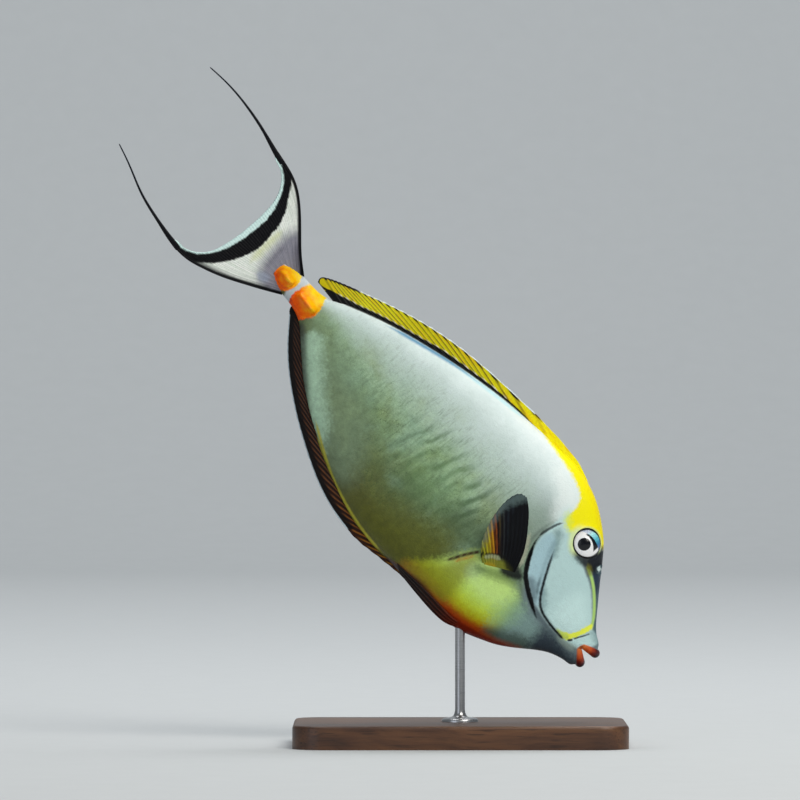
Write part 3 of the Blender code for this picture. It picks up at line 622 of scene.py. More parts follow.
class SharedEffects:
    """The node groups that several finishes place with their own values."""

    def __init__(self) -> None:
        """Builds each group once."""
        self.painted_mark = self._painted_mark()
        self.fine_grain = self._fine_grain()
        self.ray_lines = self._ray_lines()

    @staticmethod
    def _new_tree(name: str, inputs: dict[str, tuple[str, object]], outputs: dict[str, str]) -> tuple:
        """An empty group with its sockets.

        Args:
            name: The group's name.
            inputs: Type and default of each input, by name.
            outputs: Type of each output, by name.

        Returns:
            The tree, a desk for it, the sockets that it is given, and those of its result.
        """
        tree = bpy.data.node_groups.new(name, "ShaderNodeTree")
        for key, (kind, default) in inputs.items():
            socket = tree.interface.new_socket(key, in_out="INPUT", socket_type="NodeSocket" + kind)
            socket.default_value = default
        for key, kind in outputs.items():
            tree.interface.new_socket(key, in_out="OUTPUT", socket_type="NodeSocket" + kind)
        entry, result = tree.nodes.new("NodeGroupInput"), tree.nodes.new("NodeGroupOutput")
        return tree, NodeDesk(tree), entry.outputs, result.inputs

    def _painted_mark(self) -> bpy.types.NodeTree:
        """Lays a colour over another where a signed distance says so, with a soft, uneven edge."""
        grey = (0.5, 0.5, 0.5, 1.0)
        inputs = {
            "Under": ("Color", grey), "Over": ("Color", grey), "Depth": ("Float", 0.0),
            "Softness": ("Float", 0.5), "Wobble": ("Float", 0.0), "Noise": ("Float", 0.5),
            "Strength": ("Float", 1.0),
        }
        tree, desk, given, result = self._new_tree("painted_mark", inputs, {"Color": "Color"})
        depth = desk.plus(given["Depth"], desk.sway(given["Noise"], given["Wobble"]))
        low = desk.times(given["Softness"], -1.0)
        mask = desk.times(desk.step(depth, low, given["Softness"]), given["Strength"])
        desk.feed(result["Color"], desk.mix(mask, given["Under"], given["Over"]))
        return tree

    def _fine_grain(self) -> bpy.types.NodeTree:
        """Fine leathery skin: small uneven cells with a softer grain over them."""
        inputs = {"Place": ("Vector", (0.0, 0.0, 0.0)), "Size": ("Float", 1.0)}
        outputs = {"Height": "Float", "Tone": "Float"}
        tree, desk, given, result = self._new_tree("fine_grain", inputs, outputs)
        place = desk.scaled(given["Place"], given["Size"])
        cells = desk.cells(place, 1.5)
        grain = desk.noise(place, 0.9, 4.0, 0.6)
        desk.feed(result["Height"], desk.plus(desk.times(cells, 0.5), grain))
        desk.feed(result["Tone"], desk.plus(desk.times(desk.minus(cells, 0.4), 0.4), grain))
        return tree

    def _ray_lines(self) -> bpy.types.NodeTree:
        """Fin rays: 1 on a ray and 0 between two, from a number that is whole on each ray."""
        inputs = {"Ray": ("Float", 0.0), "Width": ("Float", 0.2)}
        tree, desk, given, result = self._new_tree("ray_lines", inputs, {"Line": "Float"})
        share = desk.math("FRACT", desk.plus(given["Ray"], 0.5))
        off = desk.math("ABSOLUTE", desk.minus(share, 0.5))
        wide, narrow = desk.times(given["Width"], 1.6), desk.times(given["Width"], 0.4)
        desk.feed(result["Line"], desk.step(off, wide, narrow))
        return tree


EFFECTS = SharedEffects()


@dataclass(frozen=True)
class Marking:
    """A patch or line of colour, drawn in the side view in millimetres behind and height.

    The colour is a colour code, or the name of a colour that the finish works out. A mark with a
    width is a line, which thins out at its ends over the shares of its length that taper gives.
    """

    name: str
    colour: str
    points: Points
    softness: float = 0.6
    width: float = 0.0
    taper: tuple[float, float] = (0.0, 0.0)
    wobble: float = 0.0
    strength: float = 1.0
    dashed: bool = False

    @property
    def key(self) -> str:
        """The name of the number that holds how deep a place lies in the mark."""
        return "mark_" + self.name

    def depth(self, places: np.ndarray) -> np.ndarray:
        """How deep places lie in the mark, negative outside it.

        Args:
            places: (behind, height) of each place.

        Returns:
            The signed distance in millimetres.
        """
        if self.width:
            distance, _, share = line_distance(places, SmoothPath(self.points).dense())
            full = smooth(share, -1e-3, self.taper[0]) * smooth(share, 1 + 1e-3, 1 - self.taper[1])
            return (self.width / 2 + self.softness) * full - self.softness - distance
        return patch_distance(places, rounded(self.points))


class Painter:
    """Puts a list of markings on a piece and in its material."""

    def __init__(self, markings: tuple[Marking, ...]) -> None:
        """Takes the markings, from the lowest to the topmost."""
        self.markings = markings

    def numbers(self, behind: np.ndarray, height: np.ndarray) -> dict[str, np.ndarray]:
        """The depth in every mark at some places.

        Args:
            behind: The places' distance behind the snout.
            height: Their height.

        Returns:
            An array like behind for each mark's key.
        """
        places = np.column_stack([behind.ravel(), height.ravel()])
        return {m.key: np.clip(m.depth(places), -15, 15).reshape(behind.shape) for m in self.markings}

    def paint(
        self, desk: NodeDesk, colour: object, noise: object, dashes: object = 1.0, blends: dict | None = None
    ) -> Socket:
        """Lays the markings over a colour, in order.

        Args:
            desk: The material's desk.
            colour: The colour under them.
            noise: An uneven number about 0.5 that makes edges wander.
            dashes: Where the dashed marks show.
            blends: Colours that the finish works out, by the name that marks give as their colour.

        Returns:
            The painted colour.
        """
        for mark in self.markings:
            settings = {
                "Under": colour,
                "Over": (blends or {}).get(mark.colour, mark.colour),
                "Depth": desk.number(mark.key),
                "Softness": mark.softness,
                "Wobble": mark.wobble,
                "Noise": noise,
                "Strength": desk.times(dashes, mark.strength) if mark.dashed else mark.strength,
            }
            colour = desk.group(EFFECTS.painted_mark, settings).outputs["Color"]
        return colour


@dataclass(frozen=True)
class BodyShape:
    """The fish's body without its fins, section by section."""

    sections: tuple = (
        (-1.5, 4.4, -11.0, 2.9, -3.0), (3.0, 7.4, -13.5, 5.2, -3.0), (9.0, 11.4, -15.9, 7.0, -2.5),
        (18.0, 19.8, -20.7, 9.2, -2.0), (30.0, 31.8, -31.8, 12.0, -1.5), (42.0, 44.0, -41.6, 14.4, -1.0),
        (48.0, 49.0, -45.2, 15.6, -1.0), (60.0, 56.4, -51.6, 18.0, -1.0), (72.0, 61.5, -54.8, 20.2, -1.0),
        (90.0, 63.8, -56.3, 22.0, -1.0), (120.0, 60.4, -58.7, 22.2, -1.0), (156.0, 55.0, -58.2, 19.6, 0.0),
        (192.0, 45.5, -48.4, 15.4, 1.0), (228.0, 32.2, -33.4, 10.6, 1.5), (252.0, 20.2, -17.8, 7.0, 1.8),
        (264.0, 13.2, -9.8, 5.6, 1.8), (276.0, 10.4, -6.6, 4.6, 1.8), (288.0, 9.4, -6.0, 3.4, 1.7),
        (297.0, 6.4, -3.2, 1.4, 1.6),
    )
    pinches: tuple = (
        (-1.5, 0.90, 0.90), (20.0, 0.86, 0.95), (53.0, 0.66, 0.95), (80.0, 0.86, 0.92),
        (120.0, 1.02, 0.96), (180.0, 1.12, 1.12), (240.0, 1.10, 1.10), (297.0, 1.00, 1.00),
    )

    def __post_init__(self) -> None:
        """Makes the smooth functions once."""
        object.__setattr__(self, "section_at", NaturalSpline(self.sections))
        object.__setattr__(self, "pinch_at", NaturalSpline(self.pinches))

    def back(self, behind: np.ndarray | float) -> np.ndarray:
        """The height of the back."""
        return self.section_at(behind)[..., 0]

    def belly(self, behind: np.ndarray | float) -> np.ndarray:
        """The height of the belly."""
        return self.section_at(behind)[..., 1]

    def _section(self, behind: np.ndarray | float) -> tuple[np.ndarray, ...]:
        """The back, the belly, the half width, the widest height and the two pinches."""
        return (*np.moveaxis(self.section_at(behind), -1, 0), *np.moveaxis(self.pinch_at(behind), -1, 0))

    def ring(self, behind: np.ndarray, turn: np.ndarray, grow: np.ndarray | float = 0.0) -> np.ndarray:
        """Places on the skin.

        Args:
            behind: How far behind the snout.
            turn: The angle round the section, from 0 at the left side to a quarter turn at the back.
            grow: How far the skin stands out there.

        Returns:
            (behind, side, height) of each place.
        """
        back, belly, half, widest, pinch_back, pinch_belly = self._section(behind)
        upper = np.sin(turn) >= 0
        reach = np.where(upper, back - widest, widest - belly) + grow
        width = np.abs(np.cos(turn)) ** np.where(upper, pinch_back, pinch_belly)
        side = np.sign(np.cos(turn)) * (half + grow) * width
        return np.stack([np.broadcast_to(behind, side.shape), side, widest + reach * np.sin(turn)], axis=-1)

    def side_at(self, behind: np.ndarray | float, height: np.ndarray | float) -> np.ndarray:
        """How far the skin stands out sideways at a place in the side view.

        Args:
            behind: How far behind the snout.
            height: The place's height.

        Returns:
            The distance from the middle plane.
        """
        back, belly, half, widest, pinch_back, pinch_belly = self._section(behind)
        upper = np.asarray(height) > widest
        reach = np.where(upper, back - widest, widest - belly)
        share = np.minimum(np.abs((height - widest) / reach), 1.0)
        return half * np.sqrt(1 - share**2) ** np.where(upper, pinch_back, pinch_belly)


BODY = BodyShape()

GILL_OPENING = (
    (74.4, 31.0), (74.2, 24.5), (73.2, 18.0), (71.0, 12.6), (66.6, 5.4),
    (61.0, -0.9), (53.4, -5.7), (45.0, -9.2), (34.0, -12.7),
)
PREOPERCLE = (
    (66.4, 29.0), (60.4, 18.8), (54.2, 9.2), (48.2, 0.8), (44.2, -3.6), (39.8, -6.4),
    (33.2, -7.8), (24.0, -8.1), (15.6, -7.4),
)


@dataclass(frozen=True)
class Jaw:
    """One jaw's lip: where its tip and its corner are, and how thick it is there."""

    tip: tuple[float, float]
    corner: tuple[float, float]
    tip_radius: float
    corner_radius: float


@dataclass
class Mouth:
    """The two lips as one roll round the open mouth, and the hollow behind them."""

    upper: Jaw = Jaw((-1.6, 1.8), (7.6, -0.8), 2.85, 2.2)
    lower: Jaw = Jaw((0.0, -8.7), (8.0, -4.2), 3.0, 2.3)
    half_width: float = 5.6
    corner_ease: float = 0.13
    hollow_end: float = 17.0
    hollow_height: float = -3.0
    roll_start: float = -14.0
    roll_end: float = 215.0
    roll_rings: int = 30
    hollow_rings: int = 9

    def centre_line(self, turn: np.ndarray) -> tuple[np.ndarray, np.ndarray]:
        """The middle of the roll round the mouth.

        Args:
            turn: The angle round the mouth.

        Returns:
            (behind, side, height) of each place, and the roll's radius there.
        """
        lift = np.sin(turn)
        ease = self.corner_ease
        reach = (np.sqrt(lift**2 + ease**2) - ease) / (math.sqrt(1 + ease**2) - ease)
        upper = smooth(lift, -ease, ease)
        rows = []
        for jaw in (self.upper, self.lower):
            behind = jaw.corner[0] + (jaw.tip[0] - jaw.corner[0]) * reach
            height = jaw.corner[1] + (jaw.tip[1] - jaw.corner[1]) * reach
            radius = jaw.corner_radius + (jaw.tip_radius - jaw.corner_radius) * reach**1.2
            rows.append(np.stack([behind, height, radius]))
        behind, height, radius = rows[1] + (rows[0] - rows[1]) * upper
        side = self.half_width * np.cos(turn)
        return np.stack([behind, side, height], axis=-1), radius

    def rings(self, turn: np.ndarray) -> tuple[np.ndarray, np.ndarray]:
        """Every ring from the deep end of the mouth out over the lips.

        Args:
            turn: The angle of each column, over a full turn without its end.

        Returns:
            Places, rings by columns by three, and for each ring the roll's angle in degrees, with
            more than roll_end in the hollow.
        """
        centre, radius = self.centre_line(turn)
        along = np.roll(centre, -1, axis=0) - np.roll(centre, 1, axis=0)
        along /= np.linalg.norm(along, axis=1)[:, None]
        ahead = np.array([-1.0, 0.0, 0.0]) - along * (-along[:, :1])
        ahead /= np.linalg.norm(ahead, axis=1)[:, None]
        out = np.cross(along, ahead)
        middle = centre.mean(axis=0)
        out *= np.sign(np.sum(out * (centre - middle), axis=1))[:, None]
        angles = np.linspace(self.roll_end, self.roll_start, self.roll_rings)
        rolls = []
        for angle in np.radians(angles):
            rolls.append(centre + radius[:, None] * (out * math.cos(angle) + ahead * math.sin(angle)))
        end = np.array([self.hollow_end, 0.0, self.hollow_height])
        depths, hollow = np.linspace(1, 0, self.hollow_rings, endpoint=False), []
        for depth in depths * math.pi / 2:
            away = rolls[0] - end
            away = away * [1 - math.sin(depth), math.cos(depth), math.cos(depth)]
            hollow.append(end + away)
        marks = np.concatenate([self.roll_end + 60 * depths, angles])
        return np.array(hollow + rolls), marks


@dataclass(frozen=True)
class EyeSeat:
    """Where an eye sits and which way it looks."""

    behind: float = 52.8
    height: float = 39.8
    tilt_degrees: float = 14.0
    forward: float = 0.08
    radius: float = 9.1
    half_depth: float = 5.0
    sink: float = 2.2

    @property
    def surface(self) -> np.ndarray:
        """(behind, side, height) of the skin in front of the left eye's middle."""
        return np.array([self.behind, float(BODY.side_at(self.behind, self.height)), self.height])

    @property
    def axis(self) -> np.ndarray:
        """The way the left eye looks."""
        tilt = math.radians(self.tilt_degrees)
        axis = np.array([-self.forward, math.cos(tilt), math.sin(tilt)])
        return axis / np.linalg.norm(axis)

    def distance(self, places: np.ndarray) -> np.ndarray:
        """How far places are from the line that the eye on their side looks along.

        Args:
            places: (behind, side, height) of each place, on the last axis.

        Returns:
            The distances.
        """
        folded = places.copy()
        folded[..., 1] = np.abs(folded[..., 1])
        away = folded - self.surface
        away = away - (away @ self.axis)[..., None] * self.axis
        return np.linalg.norm(away, axis=-1)


EYE_SEAT = EyeSeat()


def bone_orange_painted_light(desk: NodeDesk, behind: object, height: object, place: object) -> Socket:
    """The keels' orange, with painted shade that turns it red-orange at each keel's lower rear and painted
    light that turns it yellow at its upper front.

    Args:
        desk: The material's desk.
        behind: The distance behind the snout.
        height: The height.
        place: The place in the fish's frame.

    Returns:
        The colour.
    """
    # Painted light and shade: yellow high up and at each keel's front, red-orange low down and at its rear.
    level = desk.plus(height, desk.sway(desk.noise(place, 0.22, 4.0, 0.6), 22.0))
    along = desk.math("FRACT", desk.math("DIVIDE", desk.minus(behind, 258.5), 22.0))
    share = desk.plus(desk.times(level, 0.042), desk.minus(0.6, desk.times(along, 0.34)))
    return desk.ramp(
        share, (0.0, "cc3e02"), (0.18, "f05600"), (0.34, "fc6e00"), (0.48, "fe8a02"), (0.6, "feaa04"),
        (0.76, "ffc804"), (0.95, "ffdc10"),
    )


SKIN_MARKINGS = (
    Marking(
        "head_grey", "6c7d82", ((-8, 16), (30, 32), (60, 32), (70, 14), (66, 4), (60, -3), (53, -11),
        (49, -20), (46, -32), (40, -46), (0, -46), (-8, -20)), 3.0, wobble=2,
    ),
    Marking(
        "flank_shade", "3c5234", ((106, -8), (118, -2), (134, -4), (148, -10), (156, -18), (146, -26),
        (124, -26), (106, -18)), 9.0, wobble=9, strength=0.36,
    ),
    Marking(
        "rear_green", "7f987c", ((170, -50), (174, -38), (180, -24), (192, -12), (214, -2), (240, 4),
        (262, 6), (264, -6), (252, -16), (232, -32), (206, -46), (184, -54)), 11.0, wobble=9, strength=0.62,
    ),
    Marking(
        "rear_pale", "b2d4b8", ((184, -50), (198, -44.5), (214, -36.5), (228, -27.5), (240, -19),
        (250, -10.5), (258, -3)), 6.0, width=12.0, taper=(0.35, 0.1), wobble=7, strength=0.8,
    ),
    Marking(
        "fin_shade", "43563c", ((90, 0), (102, 2), (116, -2), (126, -12), (120, -21), (102, -21),
        (92, -16), (86, -8)), 7.0, wobble=8, strength=0.55,
    ),
    Marking(
        "mid_shade", "4c623e", ((136, -8), (150, -6), (160, -16), (156, -28), (142, -30), (132, -20)), 8.0,
        wobble=10, strength=0.35,
    ),
    Marking(
        "low_olive", "505406", ((90, -28), (104, -26), (120, -32), (138, -42), (154, -50), (150, -60),
        (124, -64), (100, -60), (88, -46)), 8.0, wobble=9, strength=0.6,
    ),
    Marking(
        "olive", "5c5f18", ((98, -24), (106, -17), (116, -18), (128, -24), (140, -31), (152, -38),
        (162, -46), (174, -58), (150, -64), (112, -64), (100, -46)), 9.0, wobble=10, strength=0.5,
    ),
    Marking(
        "green", "7ea46c", ((116, 4), (130, 16), (150, 16), (160, 4), (156, -16), (138, -22), (120, -12)),
        11.0, wobble=8, strength=0.3,
    ),
    Marking(
        "shoulder", "f0faf8", ((69, 44), (73, 52), (82, 56.4), (98, 59), (100, 52), (90, 47), (83, 40),
        (78, 33), (72, 36)), 5.0, wobble=5, strength=0.7,
    ),
    Marking(
        "cheek", "bddcdb", ((14, 12), (30, 25), (44, 29), (52, 36), (62, 46), (71, 46), (74.8, 40),
        (74.6, 33), (74.4, 31), (74.2, 24.5), (73.2, 18), (71, 12.6), (66.6, 5.4), (61, -0.9),
        (53.4, -5.7), (49, -7.6), (44, -7.4), (38, -8.4), (30, -9), (15.6, -8.4), (6, -4), (2, 4), (2, 8)),
        1.0, wobble=0.8,
    ),
    # Painted highlight: paler on the lower front of the cheek.
    Marking(
        "cheek_front", "dcfaf7", ((14, 9), (22, 15), (32, 20), (36, 8), (34, -3), (26, -5), (16, -4)), 6.0,
        wobble=3, strength=0.55,
    ),
    Marking(
        "cheek_top", "d4ece9", ((60, 46), (78, 48), (78, 36), (70, 34), (64, 37)), 3.0, wobble=3,
        strength=0.6,
    ),
    Marking(
        "cheek_back", "7f9b9c", ((57, 13), (61, 19), (65, 25.4), (69, 31), (71, 36)), 3.0, width=5.5,
        taper=(0.3, 0.25), wobble=4, strength=0.85,
    ),
    Marking(
        "cheek_low", "7f9c9f", ((33, -7), (39, -4.6), (44, -1.4), (48, 3), (52, 8)), 2.4, width=4.4,
        taper=(0.4, 0.4), wobble=4, strength=0.7,
    ),
    Marking(
        "opercle", "a6c9d4", ((66.5, 27), (71.6, 28), (73.2, 24), (72.6, 18), (70.4, 12.6), (66, 5.6),
        (60.6, -0.4), (53, -5), (45, -8.4), (41.5, -6.5), (46.5, -1), (52.5, 7), (58.5, 16), (64, 24)),
        2.0, wobble=1.6, strength=0.8,
    ),
    Marking(
        "opercle_low", "54666e", ((57, 3), (61, -1), (54, -6), (48, -9), (44, -8), (47, -3)), 2.4,
        wobble=1.5, strength=0.7,
    ),
    Marking(
        "belly", "belly", ((50, -20), (53, -14), (59, -11.4), (66, -10), (76, -10.4), (84, -11.4),
        (89.4, -12.4), (92.6, -18), (96.4, -25.6), (99.6, -32), (104, -40), (109, -47), (115, -54),
        (104, -62), (80, -60), (60, -56), (51, -46), (47.6, -34)), 4.6, wobble=6,
    ),
    Marking(
        "mustard", "85881a", ((79, -48), (81, -36), (84, -24), (86, -15), (91, -15), (94.6, -24),
        (98, -34), (104, -40), (112, -50), (118, -58), (100, -64), (80, -58)), 5.0, wobble=6, strength=0.75,
    ),
    Marking(
        "teal_spot", "93b093", ((78, -18), (84, -16.4), (88.6, -20), (88, -26), (83, -28), (79, -24)), 3.5,
        wobble=4, strength=0.4,
    ),
    Marking(
        "breast", "82a09b", ((14, -10), (32, -13.6), (44, -12.4), (50, -14.4), (50.4, -22), (48, -30),
        (43, -38), (32, -44), (12, -40)), 5.6, wobble=7,
    ),
    Marking(
        "breast_haze", "98c08c", ((46, -14), (54, -12), (58, -20), (58, -30), (52, -38), (46, -34),
        (44, -24)), 6.0, wobble=8, strength=0.65,
    ),
    Marking(
        "breast_low", "46564c", ((26, -24), (34, -24.4), (41, -29.6), (47, -34.4), (54, -39.6), (50, -44),
        (38, -40), (26, -32)), 3.6, wobble=6, strength=0.75,
    ),
    Marking(
        "chin", "3a4650", ((-6, -12), (4, -10.4), (10, -10.6), (16, -9.4), (24, -9.8), (31, -11.4),
        (30, -15), (29.4, -19), (29, -23), (27, -28), (23, -34), (-6, -24)), 5.0, wobble=6.0,
    ),
    Marking(
        "gill_under", "4c5a62", ((26, -10.6), (34, -10.4), (42, -8.6), (48, -5.8)), 1.8, width=2.6,
        taper=(0.3, 0.3), wobble=2.0, strength=0.6,
    ),
    Marking(
        "jaw", "8fa299", ((8, -4), (12, -5.4), (18, -7.4), (22, -9.4), (18, -10.6), (12, -9.8), (8, -8.4)),
        1.6, wobble=1.6, strength=0.75,
    ),
    Marking(
        "hem", "a83c06", ((27, -29), (35, -33.6), (42, -38), (49, -41), (57, -43.4), (66, -46),
        (76, -48.4), (88, -50.6), (104, -53), (118, -56), (118, -68), (60, -68), (22, -42)), 2.4,
        wobble=2.2, strength=0.75,
    ),
    Marking(
        "hem_red", "761804", ((29, -31.4), (35, -35.4), (42, -39.8), (49, -43), (57, -46), (66, -48.8),
        (76, -51), (90, -53), (108, -55.4), (124, -58), (124, -68), (60, -68), (22, -42)), 1.2, wobble=1.6,
        strength=0.9,
    ),
    Marking(
        "dark_hem", "1f120e", ((72, -53.4), (80, -52.4), (90, -51.6), (98, -51), (108, -54), (124, -57.4),
        (124, -68), (72, -68)), 2.2, wobble=1.8, strength=0.95,
    ),
    Marking(
        "anal_shade", "3c3e3e", ((212, -47), (222, -37), (232, -29.4), (244, -20.4), (256, -10.8),
        (263, -6.6), (264, -14), (240, -36)), 1.8, wobble=1.2, strength=0.65,
    ),
    Marking(
        "anal_line", "beb83e", ((122, -58.4), (144, -59), (156, -57.8), (168, -55.8), (180, -52.8),
        (192, -48.4), (204, -43.2), (217, -37)), 0.7, width=1.5, taper=(0.12, 0.12), wobble=0.4,
        strength=0.9,
    ),
    Marking(
        "snout", "26364a", ((45, 33), (40.6, 32), (36, 30.4), (30, 27.4), (24, 23.2), (18, 18.2),
        (13.6, 13.4), (11.4, 10.4), (9.4, 9.4), (6, 10.4), (2, 12), (-2, 16), (24, 44), (40, 58),
        (44.8, 51), (43.6, 46.6), (43.2, 43.2), (44.6, 38.4)), 0.8, wobble=1.0,
    ),
    Marking(
        "snout_light", "6f8d92", ((13.4, 13.6), (19, 19.4), (26, 27), (27, 36), (12, 24), (0, 18),
        (-5, 12), (-4, 6), (2, 5.4), (8, 6.4), (9.8, 9.2)), 3.0, wobble=3, strength=0.65,
    ),
    Marking(
        "nape", "fff400", ((122, 61.2), (108, 60.6), (96, 59.7), (90, 59), (84, 57.8), (77.3, 55.2),
        (73.9, 50.6), (73.2, 46), (72.4, 41.4), (70.4, 37.8), (66, 36.6), (62, 37.6), (58, 42), (50, 44),
        (44.6, 44), (43.0, 45.4), (41.2, 47.2), (44, 56), (60, 76), (122, 76)), 1.3, wobble=3.4,
    ),
    Marking(
        "nape_gold", "ffcc00", ((100, 66), (80, 62), (66, 57), (56, 52), (47, 48.6), (42, 48), (50, 62),
        (80, 78), (104, 78)), 3.0, wobble=3, strength=0.3,
    ),
    Marking(
        "nape_green", "dcef5c", ((75.4, 45), (74.6, 40), (70.6, 36.4), (64, 34.8), (60.8, 36.8),
        (66, 39.6), (69.8, 42.4)), 2.2, wobble=5, strength=0.6,
    ),
    Marking(
        "bridle", "b4dc78", ((41.4, 31.2), (36, 29.2), (30, 26.2), (24, 22), (18, 17), (14.4, 13.2),
        (12.2, 10.2)), 0.6, width=1.7, wobble=0.4,
    ),
    Marking(
        "bit", "f2fb50", ((11.3, 10.6), (10.9, 7.6), (11.8, 4.2), (12.8, 0.6), (13.6, -2.6), (15, -5.4),
        (16, -7), (20, -7.4), (22, -6), (19.4, -4), (16.8, -1.4), (15.2, 2.6), (14.8, 6), (14.2, 9.4),
        (13, 12)), 0.6, wobble=2.2,
    ),
    Marking(
        "bit_tail", "c4da62", ((15.6, -4.6), (18, -3.4), (22, -5.2), (26, -7), (22, -8.2), (16, -7.4)),
        0.9, wobble=2.0, strength=0.85,
    ),
    Marking(
        "fold", "1c2428", ((9.8, 6.2), (10.8, 3.4), (12.2, 0.4), (13.2, -2.2)), 0.4, width=0.8, wobble=0.2,
    ),
    Marking("dot", "16181a", ((13.8, -4.0), (14.8, -5.5)), 0.45, width=1.3),
    Marking(
        "opercle_edge", "5d747c", ((68.0, 29), (62.4, 18.2), (56.4, 8.4), (50.4, 0), (46, -4.8)), 1.6,
        width=2.0, taper=(0.15, 0.15), wobble=1.2, strength=0.35,
    ),
    Marking(
        "subopercle", "2c383e", ((58, 9.4), (53.6, 3.4), (49.4, -1.8), (44.6, -6.2)), 0.8, width=1.3,
        taper=(0.4, 0.4), wobble=0.9, strength=0.55,
    ),
    Marking("preopercle", "141a1f", PREOPERCLE, 0.6, width=1.6, taper=(0.28, 0.06), wobble=0.7),
    Marking(
        "gill_shade", "3a4542", ((75.4, 38), (76.6, 26), (76, 17), (73.4, 10), (68.8, 2.8), (62.6, -4),
        (54.4, -9), (45.6, -12)), 1.4, width=1.4, taper=(0.25, 0.25), wobble=1.4, strength=0.5,
    ),
    # Painted shade under the pectoral fin.
    Marking(
        "under_fin", "587038", ((60, -8), (68, -8.4), (77, -12), (86, -19), (82, -23), (74, -18.4),
        (66, -14)), 3.4, wobble=4, strength=0.6,
    ),
    # Painted shade: near black in the pit at the pectoral fin's root.
    Marking(
        "fin_pit", "0d1013", ((66, -1), (70, 0.4), (74, -2), (76, -8), (73, -11.6), (67.4, -10),
        (62.4, -6.4), (61, -2.6)), 1.8, wobble=1.6, strength=0.95,
    ),
    Marking(
        "gill_pale", "bcc2aa", ((80.6, 20), (77.6, 14.2), (74.0, 9.2), (70, 3.4), (66, -2.6)), 1.2,
        width=3.0, taper=(0.25, 0.25), wobble=3.0, strength=0.85,
    ),
    Marking(
        "gill_top", "20272b", ((69, 38.6), (71, 36.8), (72.8, 33.6), (73.8, 29), (74.6, 23), (74.2, 17)),
        0.5, width=1.5, taper=(0.3, 0.3), wobble=0.7, strength=0.85,
    ),
    Marking(
        "gill", "080b0f", ((74.8, 29), (74.6, 24), (73.6, 17.4), (71.2, 12.2), (66.8, 5.4), (61.2, -0.8),
        (53.2, -5.4), (45, -9.0), (38, -11.8), (30.8, -14.2)), 0.5, width=2.9, taper=(0.4, 0.3), wobble=1.0,
    ),
    Marking(
        "crease", "351a0e", ((88.4, -10), (90.2, -13.4), (93, -18.6), (96, -25.4), (98.4, -31.2),
        (101.6, -37)), 0.7, width=1.9, taper=(0.15, 0.35), wobble=0.5, strength=0.95,
    ),
    Marking(
        "crease_glow", "b5701a", ((88.4, -14.4), (91.4, -20), (94.2, -26.2), (96.4, -31.4)), 0.9,
        width=1.5, taper=(0.3, 0.3), wobble=1.0, strength=0.7,
    ),
    Marking(
        "blue_line", "c8f0f8", ((126, 59.3), (140, 57.2), (150, 55.2), (170, 50.4), (190, 45),
        (212, 37.2)), 0.9, width=2.1, taper=(0.2, 0.5), wobble=0.5, strength=0.9,
    ),
    Marking(
        "blue_rear", "5f9cc4", ((150, 55.4), (170, 50.4), (186, 46.2), (204, 40), (222, 33.2),
        (238, 25.8)), 1.0, width=2.0, taper=(0.5, 0.25), wobble=0.5, strength=0.95,
    ),
    Marking(
        "back_line", "0f1217", ((126, 61.4), (138, 59.4), (150, 57.2), (168, 52.9), (186, 47.9), (204, 42),
        (222, 35.4), (240, 27.4), (256, 19.2), (264, 15)), 0.5, width=1.9, taper=(0.08, 0.08), wobble=0.3,
    ),
    Marking(
        "stalk_pale", "c3cbd0", ((276, 16), (284, 16), (285.6, 6), (284.4, -3), (281, -9), (277, -9),
        (278.4, 0), (279, 6)), 0.9, wobble=1, strength=0.9,
    ),
    Marking(
        "front_patch", "bone", ((261.4, 3), (263.2, 9), (266.4, 13.6), (271, 15.6), (276.6, 13),
        (279.4, 7), (280, 0), (278.6, -6), (274, -11), (268, -11), (263.6, -6), (261.4, -1)), 0.6,
        wobble=3.0,
    ),
    Marking(
        "rear_patch", "bone", ((283.2, 9), (288, 9.6), (294.6, 7.6), (299, 4.2), (298, -2), (293.6, -5),
        (286, -6.6), (281.8, 0)), 0.6, wobble=2.0,
    ),
    # Dark before and under the eye: the skin's own dark colour in front of it, with painted shade under the
    # eye's lower rim.
    Marking(
        "eye_front", "12171c", ((46, 47), (42, 44.4), (37, 40.4), (34, 36), (34.6, 32.4), (38, 31),
        (42, 29.8), (46, 28.6), (51, 28.4), (57, 30.4), (59, 33), (54, 34), (48, 34), (45.4, 40)), 1.8,
        wobble=2.0, strength=0.92,
    ),
    Marking(
        "bridle_top", "706c1a", ((45, 33.4), (42.4, 32.2), (38.6, 30.2), (34.4, 28)), 1.7, width=3.0,
        taper=(0.4, 0.3), wobble=2.0, strength=0.7,
    ),
    Marking(
        "glint_grey", "5f767c", ((39, 37.6), (36.6, 36.6), (33.6, 34.8), (31.6, 32.8)), 1.4, width=4.2,
        taper=(0.3, 0.3), wobble=4, strength=0.6,
    ),
    Marking(
        "glint", "d4e8e8", ((37.8, 37.0), (36.2, 35.8), (34.8, 34.2)), 0.55, width=2.1, taper=(0.35, 0.35),
        wobble=3.0, strength=0.9,
    ),
)


